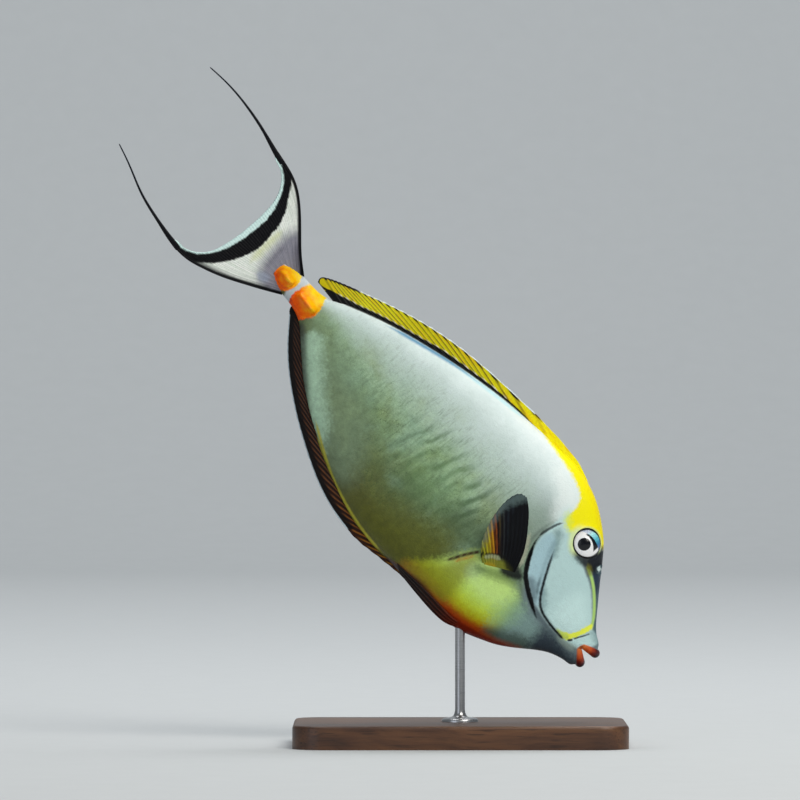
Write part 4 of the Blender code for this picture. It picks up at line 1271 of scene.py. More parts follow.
@dataclass(frozen=True)
class SkinFinish:
    """The fish's skin: silvery grey, olive below, partly from painted shade towards the belly and painted
    light towards the back, with a yellow nape, a pale bridle and dark lines.
    """

    markings: tuple[Marking, ...] = SKIN_MARKINGS
    fold_spacing: float = 8.4

    def make(self) -> bpy.types.Material:
        """Builds the material."""
        material, desk, shader = new_material("unicornfish_skin")
        place = desk.fish_place()
        behind, height = desk.behind_and_height(place)
        patchy = desk.noise(place, 0.35, 4.0, 0.6)
        fine = desk.group(EFFECTS.fine_grain, {"Place": place, "Size": 1.0})
        level = self._level(desk, place, behind, patchy)
        # From dark olive at the belly to near white at the back: partly the skin's own colour, partly painted
        # shade low down and painted light high up.
        tone = desk.ramp(
            level, (0.04, "56592c"), (0.2, "616f42"), (0.35, "7d976d"), (0.5, "9cb998"), (0.64, "b1c8b9"),
            (0.8, "c6d8d5"), (0.9, "e0efee"), (0.98, "f2fbfa"),
        )
        tone, folds = self._flank_folds(desk, place, behind, height, level, tone)
        dotted = desk.step(fine.outputs["Tone"], 0.62, 0.34)
        speckle = desk.times(dotted, desk.step(level, 0.85, 0.45, 0.0, 0.15))
        tone = desk.mix(speckle, tone, "46573f")
        # Painted shadow: darker grey-green behind the gill cover, around the pectoral fin's root.
        gill_cover_shadow = desk.times(desk.step(height, 48.0, 34.0), desk.step(height, -16.0, 2.0))
        gill_cover_shadow = desk.times(desk.step(behind, 104.0, 76.0), gill_cover_shadow)
        tone = desk.mix(desk.times(gill_cover_shadow, 0.35), tone, "465553")
        edge_noise = desk.noise(place, 0.55, 3.0)
        # The keel patches take the keels' orange with its painted light above and painted shade below.
        blends = {"belly": self._belly(desk, edge_noise), "bone": bone_orange_painted_light(desk, behind, height, place)}
        colour = Painter(self.markings).paint(desk, tone, edge_noise, blends=blends)
        colour = self._eye_surround(desk, colour)
        colour = self._lips(desk, colour, patchy)
        grain = desk.times(desk.minus(fine.outputs["Tone"], 0.5), desk.step(level, 0.85, 0.5, 0.03, 0.18))
        mottle = desk.sway(desk.noise(place, 0.22, 4.0, 0.7), desk.step(level, 0.8, 0.4, 0.06, 0.95))
        mottle = desk.times(mottle, desk.step(behind, 84.0, 110.0, 0.3, 1.0))
        relief = desk.plus(fine.outputs["Height"], desk.times(patchy, 1.2))
        relief = desk.minus(relief, desk.times(folds, 2.2))
        desk.fill(shader, {
            "Base Color": desk.toned(colour, desk.plus(grain, mottle)),
            "Roughness": desk.plus(desk.times(patchy, 0.14), 0.32),
            "Normal": desk.bump(relief, 0.00022, 0.8),
            "Specular IOR Level": 0.17, "Coat Weight": 0.06, "Coat Roughness": 0.2,
        })
        return material

    @staticmethod
    def _level(desk: NodeDesk, place: object, behind: object, patchy: object) -> Socket:
        """How far up the flank a place seems, from 0 at the belly to 1 at the back, a little uneven.

        Args:
            desk: The material's desk.
            place: The place in the fish's frame.
            behind: Its distance behind the snout.
            patchy: A noise.

        Returns:
            The level.
        """
        level = desk.plus(desk.number("level"), desk.sway(desk.noise(place, 0.05, 3.0), 0.12))
        level = desk.plus(level, desk.sway(patchy, 0.08))
        return desk.minus(level, desk.step(behind, 90.0, 225.0, 0.02, 0.08))

    def _flank_folds(
        self, desk: NodeDesk, place: object, behind: object, height: object, level: object, tone: object
    ) -> tuple[Socket, Socket]:
        """Painted shade in the troughs of soft folds across the middle of the flank and painted light on
        their crests, with fine lines, dots and warm and cool patches.

        Args:
            desk: The material's desk.
            place: The place in the fish's frame.
            behind: Its distance behind the snout.
            height: Its height.
            level: How far up the flank it is.
            tone: The colour so far.

        Returns:
            The colour with the folds, and how strong they are.
        """
        hue = desk.noise(place, 0.045, 3.0)
        mid = desk.times(desk.step(level, 0.0, 0.12), desk.step(level, 0.78, 0.5))
        tone = desk.mix(desk.times(mid, desk.step(hue, 0.5, 0.68, 0.0, 0.4)), tone, "7e8a48")
        cool = desk.times(desk.times(mid, desk.step(level, 0.16, 0.3)), desk.step(hue, 0.5, 0.32, 0.0, 0.4))
        tone = desk.mix(cool, tone, "86a894")
        drift = desk.sway(desk.noise(place, 0.04, 1.5), 17.0)
        across = desk.plus(desk.plus(behind, drift), desk.times(height, 0.2))
        waves = desk.math("SINE", desk.times(across, 2 * math.pi / self.fold_spacing))
        shown = desk.step(desk.noise(desk.stretched(place, (0.075, 0.05, 0.045)), 1.0, 2.0), 0.4, 0.62)
        span = desk.times(desk.step(height, -32.0, -8.0), desk.step(height, 27.0, 6.0))
        length = desk.times(desk.step(behind, 96.0, 118.0), desk.step(behind, 190.0, 150.0))
        middle = desk.times(span, length)
        folds = desk.times(desk.times(desk.step(waves, -0.4, 1.2), shown), middle)
        # Painted shade in the fold troughs, then painted light on the crests between them.
        tone = desk.mix(desk.times(folds, 0.75), tone, "46623f")
        lit = desk.times(desk.step(waves, 0.0, -1.1), desk.times(middle, 0.2))
        tone = desk.mix(lit, tone, "b4d0a6")
        wide = desk.times(desk.step(height, -58.0, -30.0), desk.step(height, 44.0, 20.0))
        length = desk.times(desk.step(behind, 82.0, 104.0), desk.step(behind, 255.0, 160.0, 0.3, 1.0))
        wide = desk.times(wide, length)
        lines = desk.noise(desk.stretched(place, (0.75, 0.4, 0.11)), 1.0, 3.0, 0.6)
        dark = desk.times(desk.step(lines, 0.5, 0.72), desk.times(wide, 0.36))
        tone = desk.mix(dark, tone, "445a3c")
        high = desk.times(wide, desk.step(level, 0.2, 0.42, 0.0, 0.25))
        tone = desk.mix(desk.times(desk.step(lines, 0.44, 0.28), high), tone, "b9d2b0")
        low = desk.times(wide, desk.step(level, 0.62, 0.44))
        where = desk.times(desk.step(desk.noise(place, 0.09, 2.0), 0.46, 0.6), low)
        dots = desk.step(desk.noise(desk.stretched(place, (1.3, 1.0, 0.8)), 1.0, 1.0), 0.56, 0.66)
        tone = desk.mix(desk.times(desk.times(dots, where), 0.5), tone, "34502d")
        return tone, folds

    @staticmethod
    def _belly(desk: NodeDesk, noise: object) -> Socket:
        """The belly's colours, from dark red at its edge through orange and yellow to pale green.

        Args:
            desk: The material's desk.
            noise: A noise that makes their edges wander.

        Returns:
            The colour.
        """
        rise = desk.plus(desk.number("belly_rise"), desk.sway(noise, 4.0))
        return desk.ramp(
            desk.math("DIVIDE", rise, 30.0), (0.0, "8a2208"), (0.1, "96290a"), (0.18, "a3420c"),
            (0.23, "ad5c08"),
            (0.28, "b07808"), (0.34, "b79a0e"), (0.44, "bcc01c"), (0.58, "c6dc40"), (0.74, "c6e766"),
            (0.94, "cbee8a"),
        )

    @staticmethod
    def _eye_surround(desk: NodeDesk, colour: object) -> Socket:
        """A dark rim round the eye with a pale yellow-green glow behind and above it.

        Args:
            desk: The material's desk.
            colour: The colour so far.

        Returns:
            The colour with both.
        """
        away, above = desk.number("eye_distance"), desk.number("eye_above")
        glow = desk.times(desk.step(away, 13.6, 9.6), desk.step(desk.number("eye_front"), 3.0, -3.0))
        glow = desk.times(glow, desk.step(above, 7.0, 0.0))
        rim = desk.times(desk.step(away, 10.7, 9.4), desk.step(above, 0.0, 4.0))
        glow = desk.math("MAXIMUM", desk.times(glow, 0.95), desk.times(rim, 0.55))
        colour = desk.mix(glow, colour, "e2f5b0")
        return desk.mix(desk.step(away, 9.35, 9.05), colour, "06090d")

    @staticmethod
    def _lips(desk: NodeDesk, colour: object, patchy: object) -> Socket:
        """Orange lips that darken to maroon at the tips, and painted shade that makes the hollow inside the
        mouth near black.

        Args:
            desk: The material's desk.
            colour: The colour so far.
            patchy: A noise.

        Returns:
            The colour with both.
        """
        tip = desk.plus(desk.number("lip_tip"), desk.sway(patchy, 0.5))
        lip = desk.ramp(
            tip, (0.0, "9a4a22"), (0.2, "d6743a"), (0.5, "c65424"), (0.72, "8f3019"), (0.88, "54191c"),
            (1.0, "301620"),
        )
        colour = desk.mix(desk.number("lip"), colour, lip)
        # Painted shade: the hollow inside the mouth near black.
        return desk.mix(desk.number("hollow"), colour, "110a0c")


@dataclass(frozen=True)
class MiddleRidge:
    """A low ridge along the fish's middle plane, which rises and fades out between two places."""

    rise: float
    width: float
    start: tuple[float, float]
    end: tuple[float, float]
    way: int
    level: tuple[float, float]

    def height(self, behind: np.ndarray, side: np.ndarray, height: np.ndarray) -> np.ndarray:
        """How far the ridge stands out.

        Args:
            behind: The places' distance behind the snout.
            side: Their distance from the middle plane.
            height: Their height.

        Returns:
            Millimetres for each place.
        """
        length = smooth(behind, *self.start) * smooth(behind, *self.end)
        return self.rise * bell(side, self.width) * length * smooth(self.way * height, *self.level)


@dataclass
class Skin:
    """One skin from the mouth to the tail root, in place of the seven nodes of flesh."""

    around: int = 276
    head_step: float = 0.55
    trunk_step: float = 1.7
    head_end: float = 84.0
    lips_end: float = 16.0
    tail_end: float = 297.0
    tail_tip: Place = (298.2, 0.0, 1.6)
    edge_crowding: float = 0.2
    inmost_mark: float = 400.0
    outside_mark: float = -90.0
    furthest: float = 30.0
    plate_rise: float = 0.95
    plate_slope: float = 6.0
    slit_depth: float = 1.0
    groove_depth: float = 0.55
    groove_width: float = 0.6
    socket_depth: float = 3.4
    root_swell: float = 1.5
    root_width: float = 3.4
    fold_depth: float = 0.45
    fold_width: float = 0.7
    lip_swell: float = 0.7
    nostrils: tuple = ((36.9, 36.9, 1.25), (33.8, 33.9, 0.95))
    pectoral_root: Points = ((66.0, -4.0), (82.6, -16.4))
    mouth_fold: Points = ((9.6, 6.8), (10.8, 3.4), (12.2, 0.2), (13.4, -3.0))
    ridges: tuple[MiddleRidge, ...] = (
        MiddleRidge(0.9, 2.4, (80.0, 92.0), (264.0, 250.0), 1, (0.0, 6.0)),
        MiddleRidge(0.6, 2.4, (118.0, 130.0), (266.0, 254.0), -1, (0.0, 6.0)),
        MiddleRidge(0.5, 2.2, (24.0, 44.0), (116.0, 90.0), -1, (20.0, 30.0)),
    )
    mouth: Mouth = field(default_factory=Mouth)
    finish: SkinFinish = field(default_factory=SkinFinish)

    def relief(self, places: np.ndarray) -> np.ndarray:
        """How far the skin stands out of the plain body.

        Args:
            places: (behind, side, height) of each place, rings by columns by three.

        Returns:
            Millimetres, in an array of rings by columns.
        """
        flat = np.column_stack([places[..., 0].ravel(), places[..., 2].ravel()])
        behind, height = flat.T
        side = np.abs(places[..., 1]).ravel()
        rise = self._gill_plates(flat) + self._eye_and_nostrils(places, flat)
        gap, _, _ = line_distance(flat, np.array(self.pectoral_root))
        rise += self.root_swell * bell(gap, self.root_width)
        for ridge in self.ridges:
            rise += ridge.height(behind, side, height)
        wave = np.sin(behind * 0.21 + 0.03 * height) * np.sin(height * 0.11 + 1.3)
        rise += 0.12 * wave * smooth(behind, 80, 110)
        rise += 0.4 * bell(np.hypot(behind - 60.0, (height - 12.0) * 0.8), 14.0)
        gap, _, _ = line_distance(flat, np.array(self.mouth_fold))
        rise -= self.fold_depth * bell(gap, self.fold_width)
        return rise.reshape(places.shape[:2])

    def _gill_plates(self, flat: np.ndarray) -> np.ndarray:
        """The gill cover's raised edge with its slit, and the groove of the plate before it.

        Args:
            flat: (behind, height) of each place.

        Returns:
            Millimetres for each place.
        """
        gap, sign, share = line_distance(flat, SmoothPath(GILL_OPENING).dense())
        ahead = gap * -sign
        fade = smooth(share, 0.0, 0.10) * smooth(share, 1.0, 0.86)
        slope = np.exp(-np.maximum(ahead, 0) / self.plate_slope)
        rise = self.plate_rise * fade * smooth(ahead, -0.35, 0.45) * slope
        rise -= self.slit_depth * fade * bell(ahead + 0.7, 0.65)
        rise += 0.35 * fade * bell(ahead + 3.0, 1.8)
        gap, sign, share = line_distance(flat, SmoothPath(PREOPERCLE).dense())
        fade = smooth(share, 0.0, 0.08) * smooth(share, 1.0, 0.9)
        rise -= self.groove_depth * fade * bell(gap, self.groove_width)
        return rise + 0.30 * fade * bell(gap * -sign - 1.8, 1.3)

    def _eye_and_nostrils(self, places: np.ndarray, flat: np.ndarray) -> np.ndarray:
        """The rim and the socket of the eye, the dip before it, and the nostrils.

        Args:
            places: (behind, side, height) of each place, rings by columns by three.
            flat: (behind, height) of each place.

        Returns:
            Millimetres for each place.
        """
        behind, height = flat.T
        side = np.abs(places[..., 1]).ravel()
        away = EYE_SEAT.distance(places.reshape(-1, 3))
        rise = 0.75 * bell(away - 9.3, 0.75) + 0.35 * bell(away - 10.9, 2.0)
        rise -= self.socket_depth * smooth(away, 8.8, 7.7)
        rise -= 0.7 * bell(np.hypot(behind - 41.0, height - 36.0), 4.0) * smooth(side, 3.0, 8.0)
        for at, level, radius in self.nostrils:
            spot = np.hypot(behind - at, height - level)
            rise += 0.5 * bell(spot - radius, 0.4) - 0.9 * bell(spot, radius * 0.7)
        return rise

    def build(self) -> bpy.types.Object:
        """Lays the skin's grid and gives it the numbers that its finish reads."""
        count = self.around
        even = 2 * np.pi * np.arange(count) / count
        turn = even - self.edge_crowding * np.sin(2 * even)
        rolls, marks = self.mouth.rings(turn)
        start = rolls[-1]
        steps = round((self.lips_end - start[:, 0].mean()) / self.head_step)
        share = np.arange(1, steps + 1)[:, None] / steps
        behind = start[:, 0] + (self.lips_end - start[:, 0]) * share
        turns = np.broadcast_to(turn, behind.shape)
        meet = start - BODY.ring(start[:, 0], turn)
        cheeks = BODY.ring(behind, turns)
        swell = self.lip_swell * smooth(share, 0.0, 0.1) * smooth(share, 0.5, 0.12)
        cheeks = BODY.ring(behind, turns, self.relief(cheeks) + swell)
        cheeks = cheeks + meet * (1 - smooth(share, 0.0, 0.17))[..., None]
        rest = []
        for low, high, step in (
            (self.lips_end, self.head_end, self.head_step),
            (self.head_end, self.tail_end, self.trunk_step),
        ):
            number = round((high - low) / step)
            rest.append(low + (high - low) * np.arange(1, number + 1) / number)
        behind = np.repeat(np.concatenate(rest)[:, None], count, axis=1)
        turns = np.broadcast_to(turn, behind.shape)
        flank = BODY.ring(behind, turns, self.relief(BODY.ring(behind, turns)))
        tip = np.broadcast_to(self.tail_tip, (1, count, 3))
        root = np.broadcast_to([self.mouth.hollow_end, 0.0, self.mouth.hollow_height], (1, count, 3))
        places = np.concatenate([root, rolls, cheeks, flank, tip])
        beyond = np.full(len(places) - len(marks) - 1, self.outside_mark)
        marks = np.concatenate([[self.inmost_mark], marks, beyond])
        numbers = self.numbers(places, marks, turn)
        closed = [np.concatenate([a, a[:, :1]], axis=1) for a in (places, *numbers.values())]
        skin = Workbench.laid_grid("fish_skin", POSE.place(closed[0]), dict(zip(numbers, closed[1:])))
        return Workbench.close_up(skin)

    def numbers(self, places: np.ndarray, marks: np.ndarray, turn: np.ndarray) -> dict[str, np.ndarray]:
        """What the finish reads at each place.

        Args:
            places: (behind, side, height), rings by columns by three.
            marks: The roll's angle of each ring.
            turn: The angle of each column.

        Returns:
            Arrays of rings by columns, by name.
        """
        behind, height = places[..., 0], places[..., 2]
        back, belly = BODY.back(behind), BODY.belly(behind)
        start = self.mouth.roll_start
        ones, far = np.ones_like(behind), self.furthest
        numbers = {
            "level": np.clip((height - belly) / (back - belly), 0, 1),
            "belly_rise": np.clip(height - belly, 0, 2 * far),
            "lip": smooth(marks, start + 2, start + 24)[:, None] * ones,
            "hollow": smooth(marks, 150, 225)[:, None] * ones,
            "lip_tip": np.abs(np.sin(turn))[None, :] * ones,
            "eye_distance": np.clip(EYE_SEAT.distance(places), 0, far),
            "eye_front": np.clip(EYE_SEAT.behind - behind, -far, far),
            "eye_above": np.clip(height - EYE_SEAT.height, -far, far),
        }
        return numbers | Painter(self.finish.markings).numbers(behind, height)

    def dress(self, skin: bpy.types.Object) -> None:
        """Gives the skin its finish and lets it stand for the flesh."""
        Workbench.hand_over(
            skin, self.finish.make(), "skin_silver",
            "head", "trunk", "tail_stalk", "gill_cover_right", "gill_cover_left", "lip_upper", "lip_lower",
        )


@dataclass(frozen=True)
class EyeFinish:
    """A glossy eye: dark pupil, white iris, and a blue cap with a dark bar under it."""

    pupil_at: tuple[float, float] = (-0.95, -2.3)
    pupil_radius: float = 3.85
    ring_radius: float = 8.1
    bar_start: float = -4.6

    def make(self) -> bpy.types.Material:
        """Builds the material, which reads where a place is on the eye, ahead and up, in millimetres."""
        material, desk, shader = new_material("fish_eye")
        ahead, up = desk.number("eye_ahead"), desk.number("eye_up")
        place = desk.joined(ahead, up)
        grain = desk.noise(place, 1.1, 4.0, 0.65)
        wander = desk.sway(grain, 0.7)
        from_pupil = self._reach(desk, ahead, up, self.pupil_at)
        colour = desk.ramp(
            desk.plus(grain, desk.times(from_pupil, 0.03)), (0.3, "b9cfdc"), (0.5, "f2fbff"), (0.62, "ffffff")
        )
        level = desk.plus(up, wander)
        under = desk.minus(level, self._arch(desk, desk.plus(ahead, 2.2), 2.7, 0.05))
        over = desk.minus(level, self._arch(desk, desk.minus(ahead, 0.5), 4.4, 0.035))
        ahead_of = desk.step(ahead, self.bar_start - 0.8, self.bar_start + 0.8)
        length = desk.times(ahead_of, desk.step(ahead, 6.6, 5.6))
        colour = desk.mix(desk.times(desk.step(under, -0.35, 0.35), length), colour, "040a14")
        cap_colour = desk.ramp(
            desk.math("DIVIDE", desk.plus(ahead, 6.0), 13.0),
            (0.08, "dbe2f6"), (0.3, "b4f4f5"), (0.58, "62c6d4"), (0.8, "3a86b0"), (0.96, "6f7fb5"),
        )
        cap_colour = desk.mix(desk.times(desk.step(grain, 0.55, 0.4), 0.4), cap_colour, "3f7f9c")
        colour = desk.mix(desk.step(over, -0.3, 0.3), colour, cap_colour)
        pupil = desk.step(from_pupil, self.pupil_radius + 0.2, self.pupil_radius - 0.25)
        colour = desk.mix(pupil, colour, "04060f")
        whole = desk.plus(self._reach(desk, ahead, up, (0.0, 0.0)), desk.times(wander, 0.3))
        ring = desk.step(whole, self.ring_radius - 0.25, self.ring_radius + 0.15)
        colour = desk.mix(ring, colour, "06080b")
        desk.fill(shader, {
            "Base Color": colour,
            "Roughness": desk.plus(desk.times(grain, 0.1), 0.18),
            "Specular IOR Level": 0.25, "Coat Weight": 0.35, "Coat Roughness": 0.03,
        })
        return material

    @staticmethod
    def _arch(desk: NodeDesk, across: object, top: float, bend: float) -> Socket:
        """The height of an arch that falls away on both sides of its top."""
        return desk.minus(top, desk.times(desk.times(across, across), bend))

    @staticmethod
    def _reach(desk: NodeDesk, ahead: object, up: object, middle: tuple[float, float]) -> Socket:
        """How far a place on the eye is from a point on it.

        Args:
            desk: The material's desk.
            ahead: How far ahead the place is.
            up: How far up it is.
            middle: Where the point is, ahead and up.

        Returns:
            The distance.
        """
        across, along = desk.minus(ahead, middle[0]), desk.minus(up, middle[1])
        return desk.math("SQRT", desk.plus(desk.times(across, across), desk.times(along, along)))


@dataclass
class Eyes:
    """The two eyes: flattened balls with a raised cornea, in their sockets."""

    seat: EyeSeat = EYE_SEAT
    segments: int = 72
    rings: int = 48
    cornea_radius: float = 6.6
    cornea_rise: float = 0.7
    finish: EyeFinish = field(default_factory=EyeFinish)

    def ball(self, side: Side) -> bpy.types.Object:
        """One eye, shaped from a ball.

        Args:
            side: Which eye.

        Returns:
            The piece, with the numbers that its finish reads.
        """
        Workbench.clear_selection()
        bpy.ops.mesh.primitive_uv_sphere_add(segments=self.segments, ring_count=self.rings, radius=1.0)
        eye = Workbench.named("eye_ball_" + side.name.lower())
        points = np.array([v.co for v in eye.data.vertices])
        seat = self.seat
        flat = points[:, :2] * seat.radius
        reach = np.hypot(flat[:, 0], flat[:, 1])
        bulge = self.cornea_rise * np.clip(1 - (reach / self.cornea_radius) ** 2, 0, 1) ** 2
        depth = points[:, 2] * seat.half_depth + np.where(points[:, 2] > 0, bulge, 0)
        axis = seat.axis
        upward = np.array([0.0, 0.0, 1.0]) - axis * axis[2]
        upward /= np.linalg.norm(upward)
        forward = np.cross(upward, axis)
        forward *= -np.sign(forward[0])
        middle = seat.surface - axis * seat.sink
        places = middle + flat[:, :1] * forward + flat[:, 1:2] * upward + depth[:, None] * axis
        places[:, 1] *= side.value
        eye.data.vertices.foreach_set("co", POSE.place(places).astype(np.float32).ravel())
        for key, values in (("eye_ahead", flat[:, 0]), ("eye_up", flat[:, 1])):
            numbers = eye.data.attributes.new(key, "FLOAT", "POINT")
            numbers.data.foreach_set("value", values.astype(np.float32))
        return Workbench.close_up(eye)

    def build(self) -> None:
        """Makes and dresses both eyes."""
        material = self.finish.make()
        for side in Side:
            Workbench.hand_over(self.ball(side), material, "eye_white", "eye_" + side.name.lower())


@dataclass(frozen=True)
class FinFinish:
    """A fin's skin: colours that change along it, uneven rays and streaks, and the marks painted on it.

    The colours are given against the distance behind the snout, or against the ray number where
    the finish runs across the fin.
    """

    name: str
    colours: Stops
    rays: Stops
    ray_strength: float = 0.6
    ray_width: float = 0.2
    ray_start: tuple[float, float] = (-2.0, -1.0)
    ray_reach: tuple[float, float] = (1.3, 1.2)
    ray_least: float = 0.45
    streak: str = "1a1204"
    streak_strength: float = 0.3
    markings: tuple[Marking, ...] = ()
    dash_width: float = 0.24
    roughness: float = 0.4
    across: bool = False

    def make(self) -> bpy.types.Material:
        """Builds the material, which reads the fin's ray number and its span from root to margin."""
        material, desk, shader = new_material(self.name)
        place = desk.fish_place()
        behind, _ = desk.behind_and_height(place)
        ray, span = desk.number("ray"), desk.number("span")
        run = ray if self.across else behind
        patchy = desk.noise(place, 0.3, 4.0, 0.6)
        fine = desk.group(EFFECTS.fine_grain, {"Place": place, "Size": 1.3})
        streaks = desk.noise(desk.joined(desk.times(ray, 1.4), desk.times(span, 1.6)), 1.0, 4.0, 0.65)
        spread = 0.15 * (self.colours[-1][0] - self.colours[0][0])
        colour = self._along(desk, desk.plus(run, desk.sway(patchy, spread)), self.colours)
        dark = desk.times(desk.step(streaks, 0.48, 0.66), self.streak_strength)
        colour = desk.mix(dark, colour, self.streak)
        wander = desk.plus(ray, desk.sway(streaks, 0.35))
        line = desk.group(EFFECTS.ray_lines, {"Ray": wander, "Width": self.ray_width}).outputs["Line"]
        shown = desk.times(desk.step(run, *self.ray_start), desk.step(span, *self.ray_reach))
        uneven = desk.times(desk.step(streaks, 0.36, 0.6, self.ray_least, 1.0), self.ray_strength)
        strength = desk.times(line, desk.times(shown, uneven))
        colour = desk.mix(strength, colour, self._along(desk, run, self.rays))
        dashes = desk.group(EFFECTS.ray_lines, {"Ray": ray, "Width": self.dash_width}).outputs["Line"]
        colour = Painter(self.markings).paint(desk, colour, patchy, dashes)
        joints = desk.math("SINE", desk.times(span, 90.0))
        relief = desk.plus(fine.outputs["Height"], desk.times(desk.times(joints, line), 0.25))
        desk.fill(shader, {
            "Base Color": desk.toned(colour, desk.sway(fine.outputs["Tone"], 0.3)),
            "Roughness": desk.plus(desk.times(patchy, 0.16), self.roughness),
            "Normal": desk.bump(relief, 0.00015, 0.7),
            "Specular IOR Level": 0.12, "Coat Weight": 0.05, "Coat Roughness": 0.25,
        })
        return material

    @staticmethod
    def _along(desk: NodeDesk, run: object, colours: Stops) -> Socket:
        """A colour that changes along the fin.

        Args:
            desk: The material's desk.
            run: The place along the fin.
            colours: Places along the fin and their colours.

        Returns:
            The colour.
        """
        low, high = colours[0][0], colours[-1][0]
        share = desk.math("DIVIDE", desk.minus(run, low), high - low)
        return desk.ramp(share, *(((at - low) / (high - low), code) for at, code in colours))


def ray_ridge(ray: np.ndarray, sharpness: float = 2.0) -> np.ndarray:
    """1 on a ray and 0 midway between two, from a number that is whole on each ray."""
    return (0.5 + 0.5 * np.cos(2 * np.pi * ray)) ** sharpness


def fin_numbers(
    ray: np.ndarray, span: np.ndarray, places: np.ndarray, markings: tuple[Marking, ...]
) -> dict[str, np.ndarray]:
    """What a fin's finish reads at each place.

    Args:
        ray: The ray number.
        span: The share of the way from root to margin.
        places: (behind, height) of each place, columns by rows by two.
        markings: The marks painted on the fin.

    Returns:
        Arrays of columns by rows, by name.
    """
    behind, height = places[..., 0], places[..., 1]
    numbers = {"ray": ray * np.ones_like(behind), "span": np.ones_like(behind) * span}
    return numbers | Painter(markings).numbers(behind, height)


@dataclass
class UprightFin:
    """A long low fin in the fish's middle plane, with rays that lean back."""

    name: str
    node: str
    slot: str
    base: tuple[float, float]
    margin: Points
    spacing: Points
    lean: Points
    finish: FinFinish
    on_back: bool = True
    sunk: float = 1.6
    root_half: float = 1.0
    edge_half: float = 0.26
    columns_per_ray: int = 12
    rows: int = 16
    tip_scallop: float = 0.25

    def build(self) -> bpy.types.Object:
        """Lays the fin's two faces along its leaning rays."""
        fine = np.linspace(*self.base, 800)
        counted = np.cumsum(1 / NaturalSpline(self.spacing)(fine)[:, 0])
        gaps = round(counted[-1] * (fine[1] - fine[0]))
        ray = np.linspace(0, gaps, gaps * self.columns_per_ray + 1)
        base_behind = np.interp(ray, (counted - counted[0]) * gaps / (counted[-1] - counted[0]), fine)
        share = (base_behind - self.base[0]) / (self.base[1] - self.base[0])
        upward = 1 if self.on_back else -1
        surface = BODY.back if self.on_back else BODY.belly
        root_height = surface(base_behind) - upward * self.sunk
        path = SmoothPath(self.margin)
        along = np.linspace(0, 1, 400)
        dense = path(along)
        furthest = int(np.argmax(dense[:, 0]))
        target = base_behind + NaturalSpline(self.lean)(share)[:, 0]
        at = np.interp(target, dense[: furthest + 1, 0], along[: furthest + 1])
        at = np.clip(at + (1 - at) * smooth(share, 0.975, 1.0), 0, 1)
        tip = path(at)
        inward = -self.tip_scallop * (1 - ray_ridge(ray, 1.0)) * upward
        tip[:, 1] += inward * smooth(share, 0.0, 0.03) * smooth(share, 1.0, 0.97)
        span = np.linspace(0, 1, self.rows + 1)
        behind = base_behind[:, None] + (tip[:, :1] - base_behind[:, None]) * span
        height = root_height[:, None] + (tip[:, 1:] - root_height[:, None]) * span
        middle = np.stack([behind, np.zeros_like(behind), height], axis=-1)
        thick = self.root_half + (self.edge_half - self.root_half) * span**0.65
        ridge = ray_ridge(ray)[:, None]
        half = thick * (0.55 + 0.45 * ridge) * np.sqrt(np.clip(1.02 - span**6, 0, 1))
        numbers = fin_numbers(ray[:, None], span, middle[..., ::2], self.finish.markings)
        piece = Workbench.pillow(self.name, middle, half, np.array([0.0, 1.0, 0.0]), numbers)
        return Workbench.hand_over(piece, self.finish.make(), self.slot, self.node)


DORSAL_MARGIN = (
    (78.6, 63.0), (85.0, 65.2), (93.0, 66.8), (102.0, 67.2), (114.0, 66.8), (132.0, 65.5), (150.0, 63.3),
    (168.0, 60.6),
    (186.0, 57.3), (204.0, 52.6), (222.0, 46.4), (240.0, 38.6), (258.0, 29.8), (270.0, 23.4), (274.6, 20.4),
    (277.0, 17.4), (276.0, 14.6),
)
ANAL_MARGIN = (
    (104.6, -58.2), (112.0, -59.3), (119.5, -60.9), (127.0, -62.4), (138.0, -64.9), (150.0, -66.0),
    (165.0, -65.2), (183.0, -61.6), (201.0, -55.4), (219.0, -47.8),
    (237.0, -38.4), (252.0, -28.7), (264.0, -18.6), (272.0, -11.0), (274.8, -7.0), (273.4, -4.6),
)


def inset_line(points: Points, inward: float) -> Points:
    """The points of a margin, moved towards the body by so many millimetres in height."""
    return tuple((behind, height - inward) for behind, height in points)


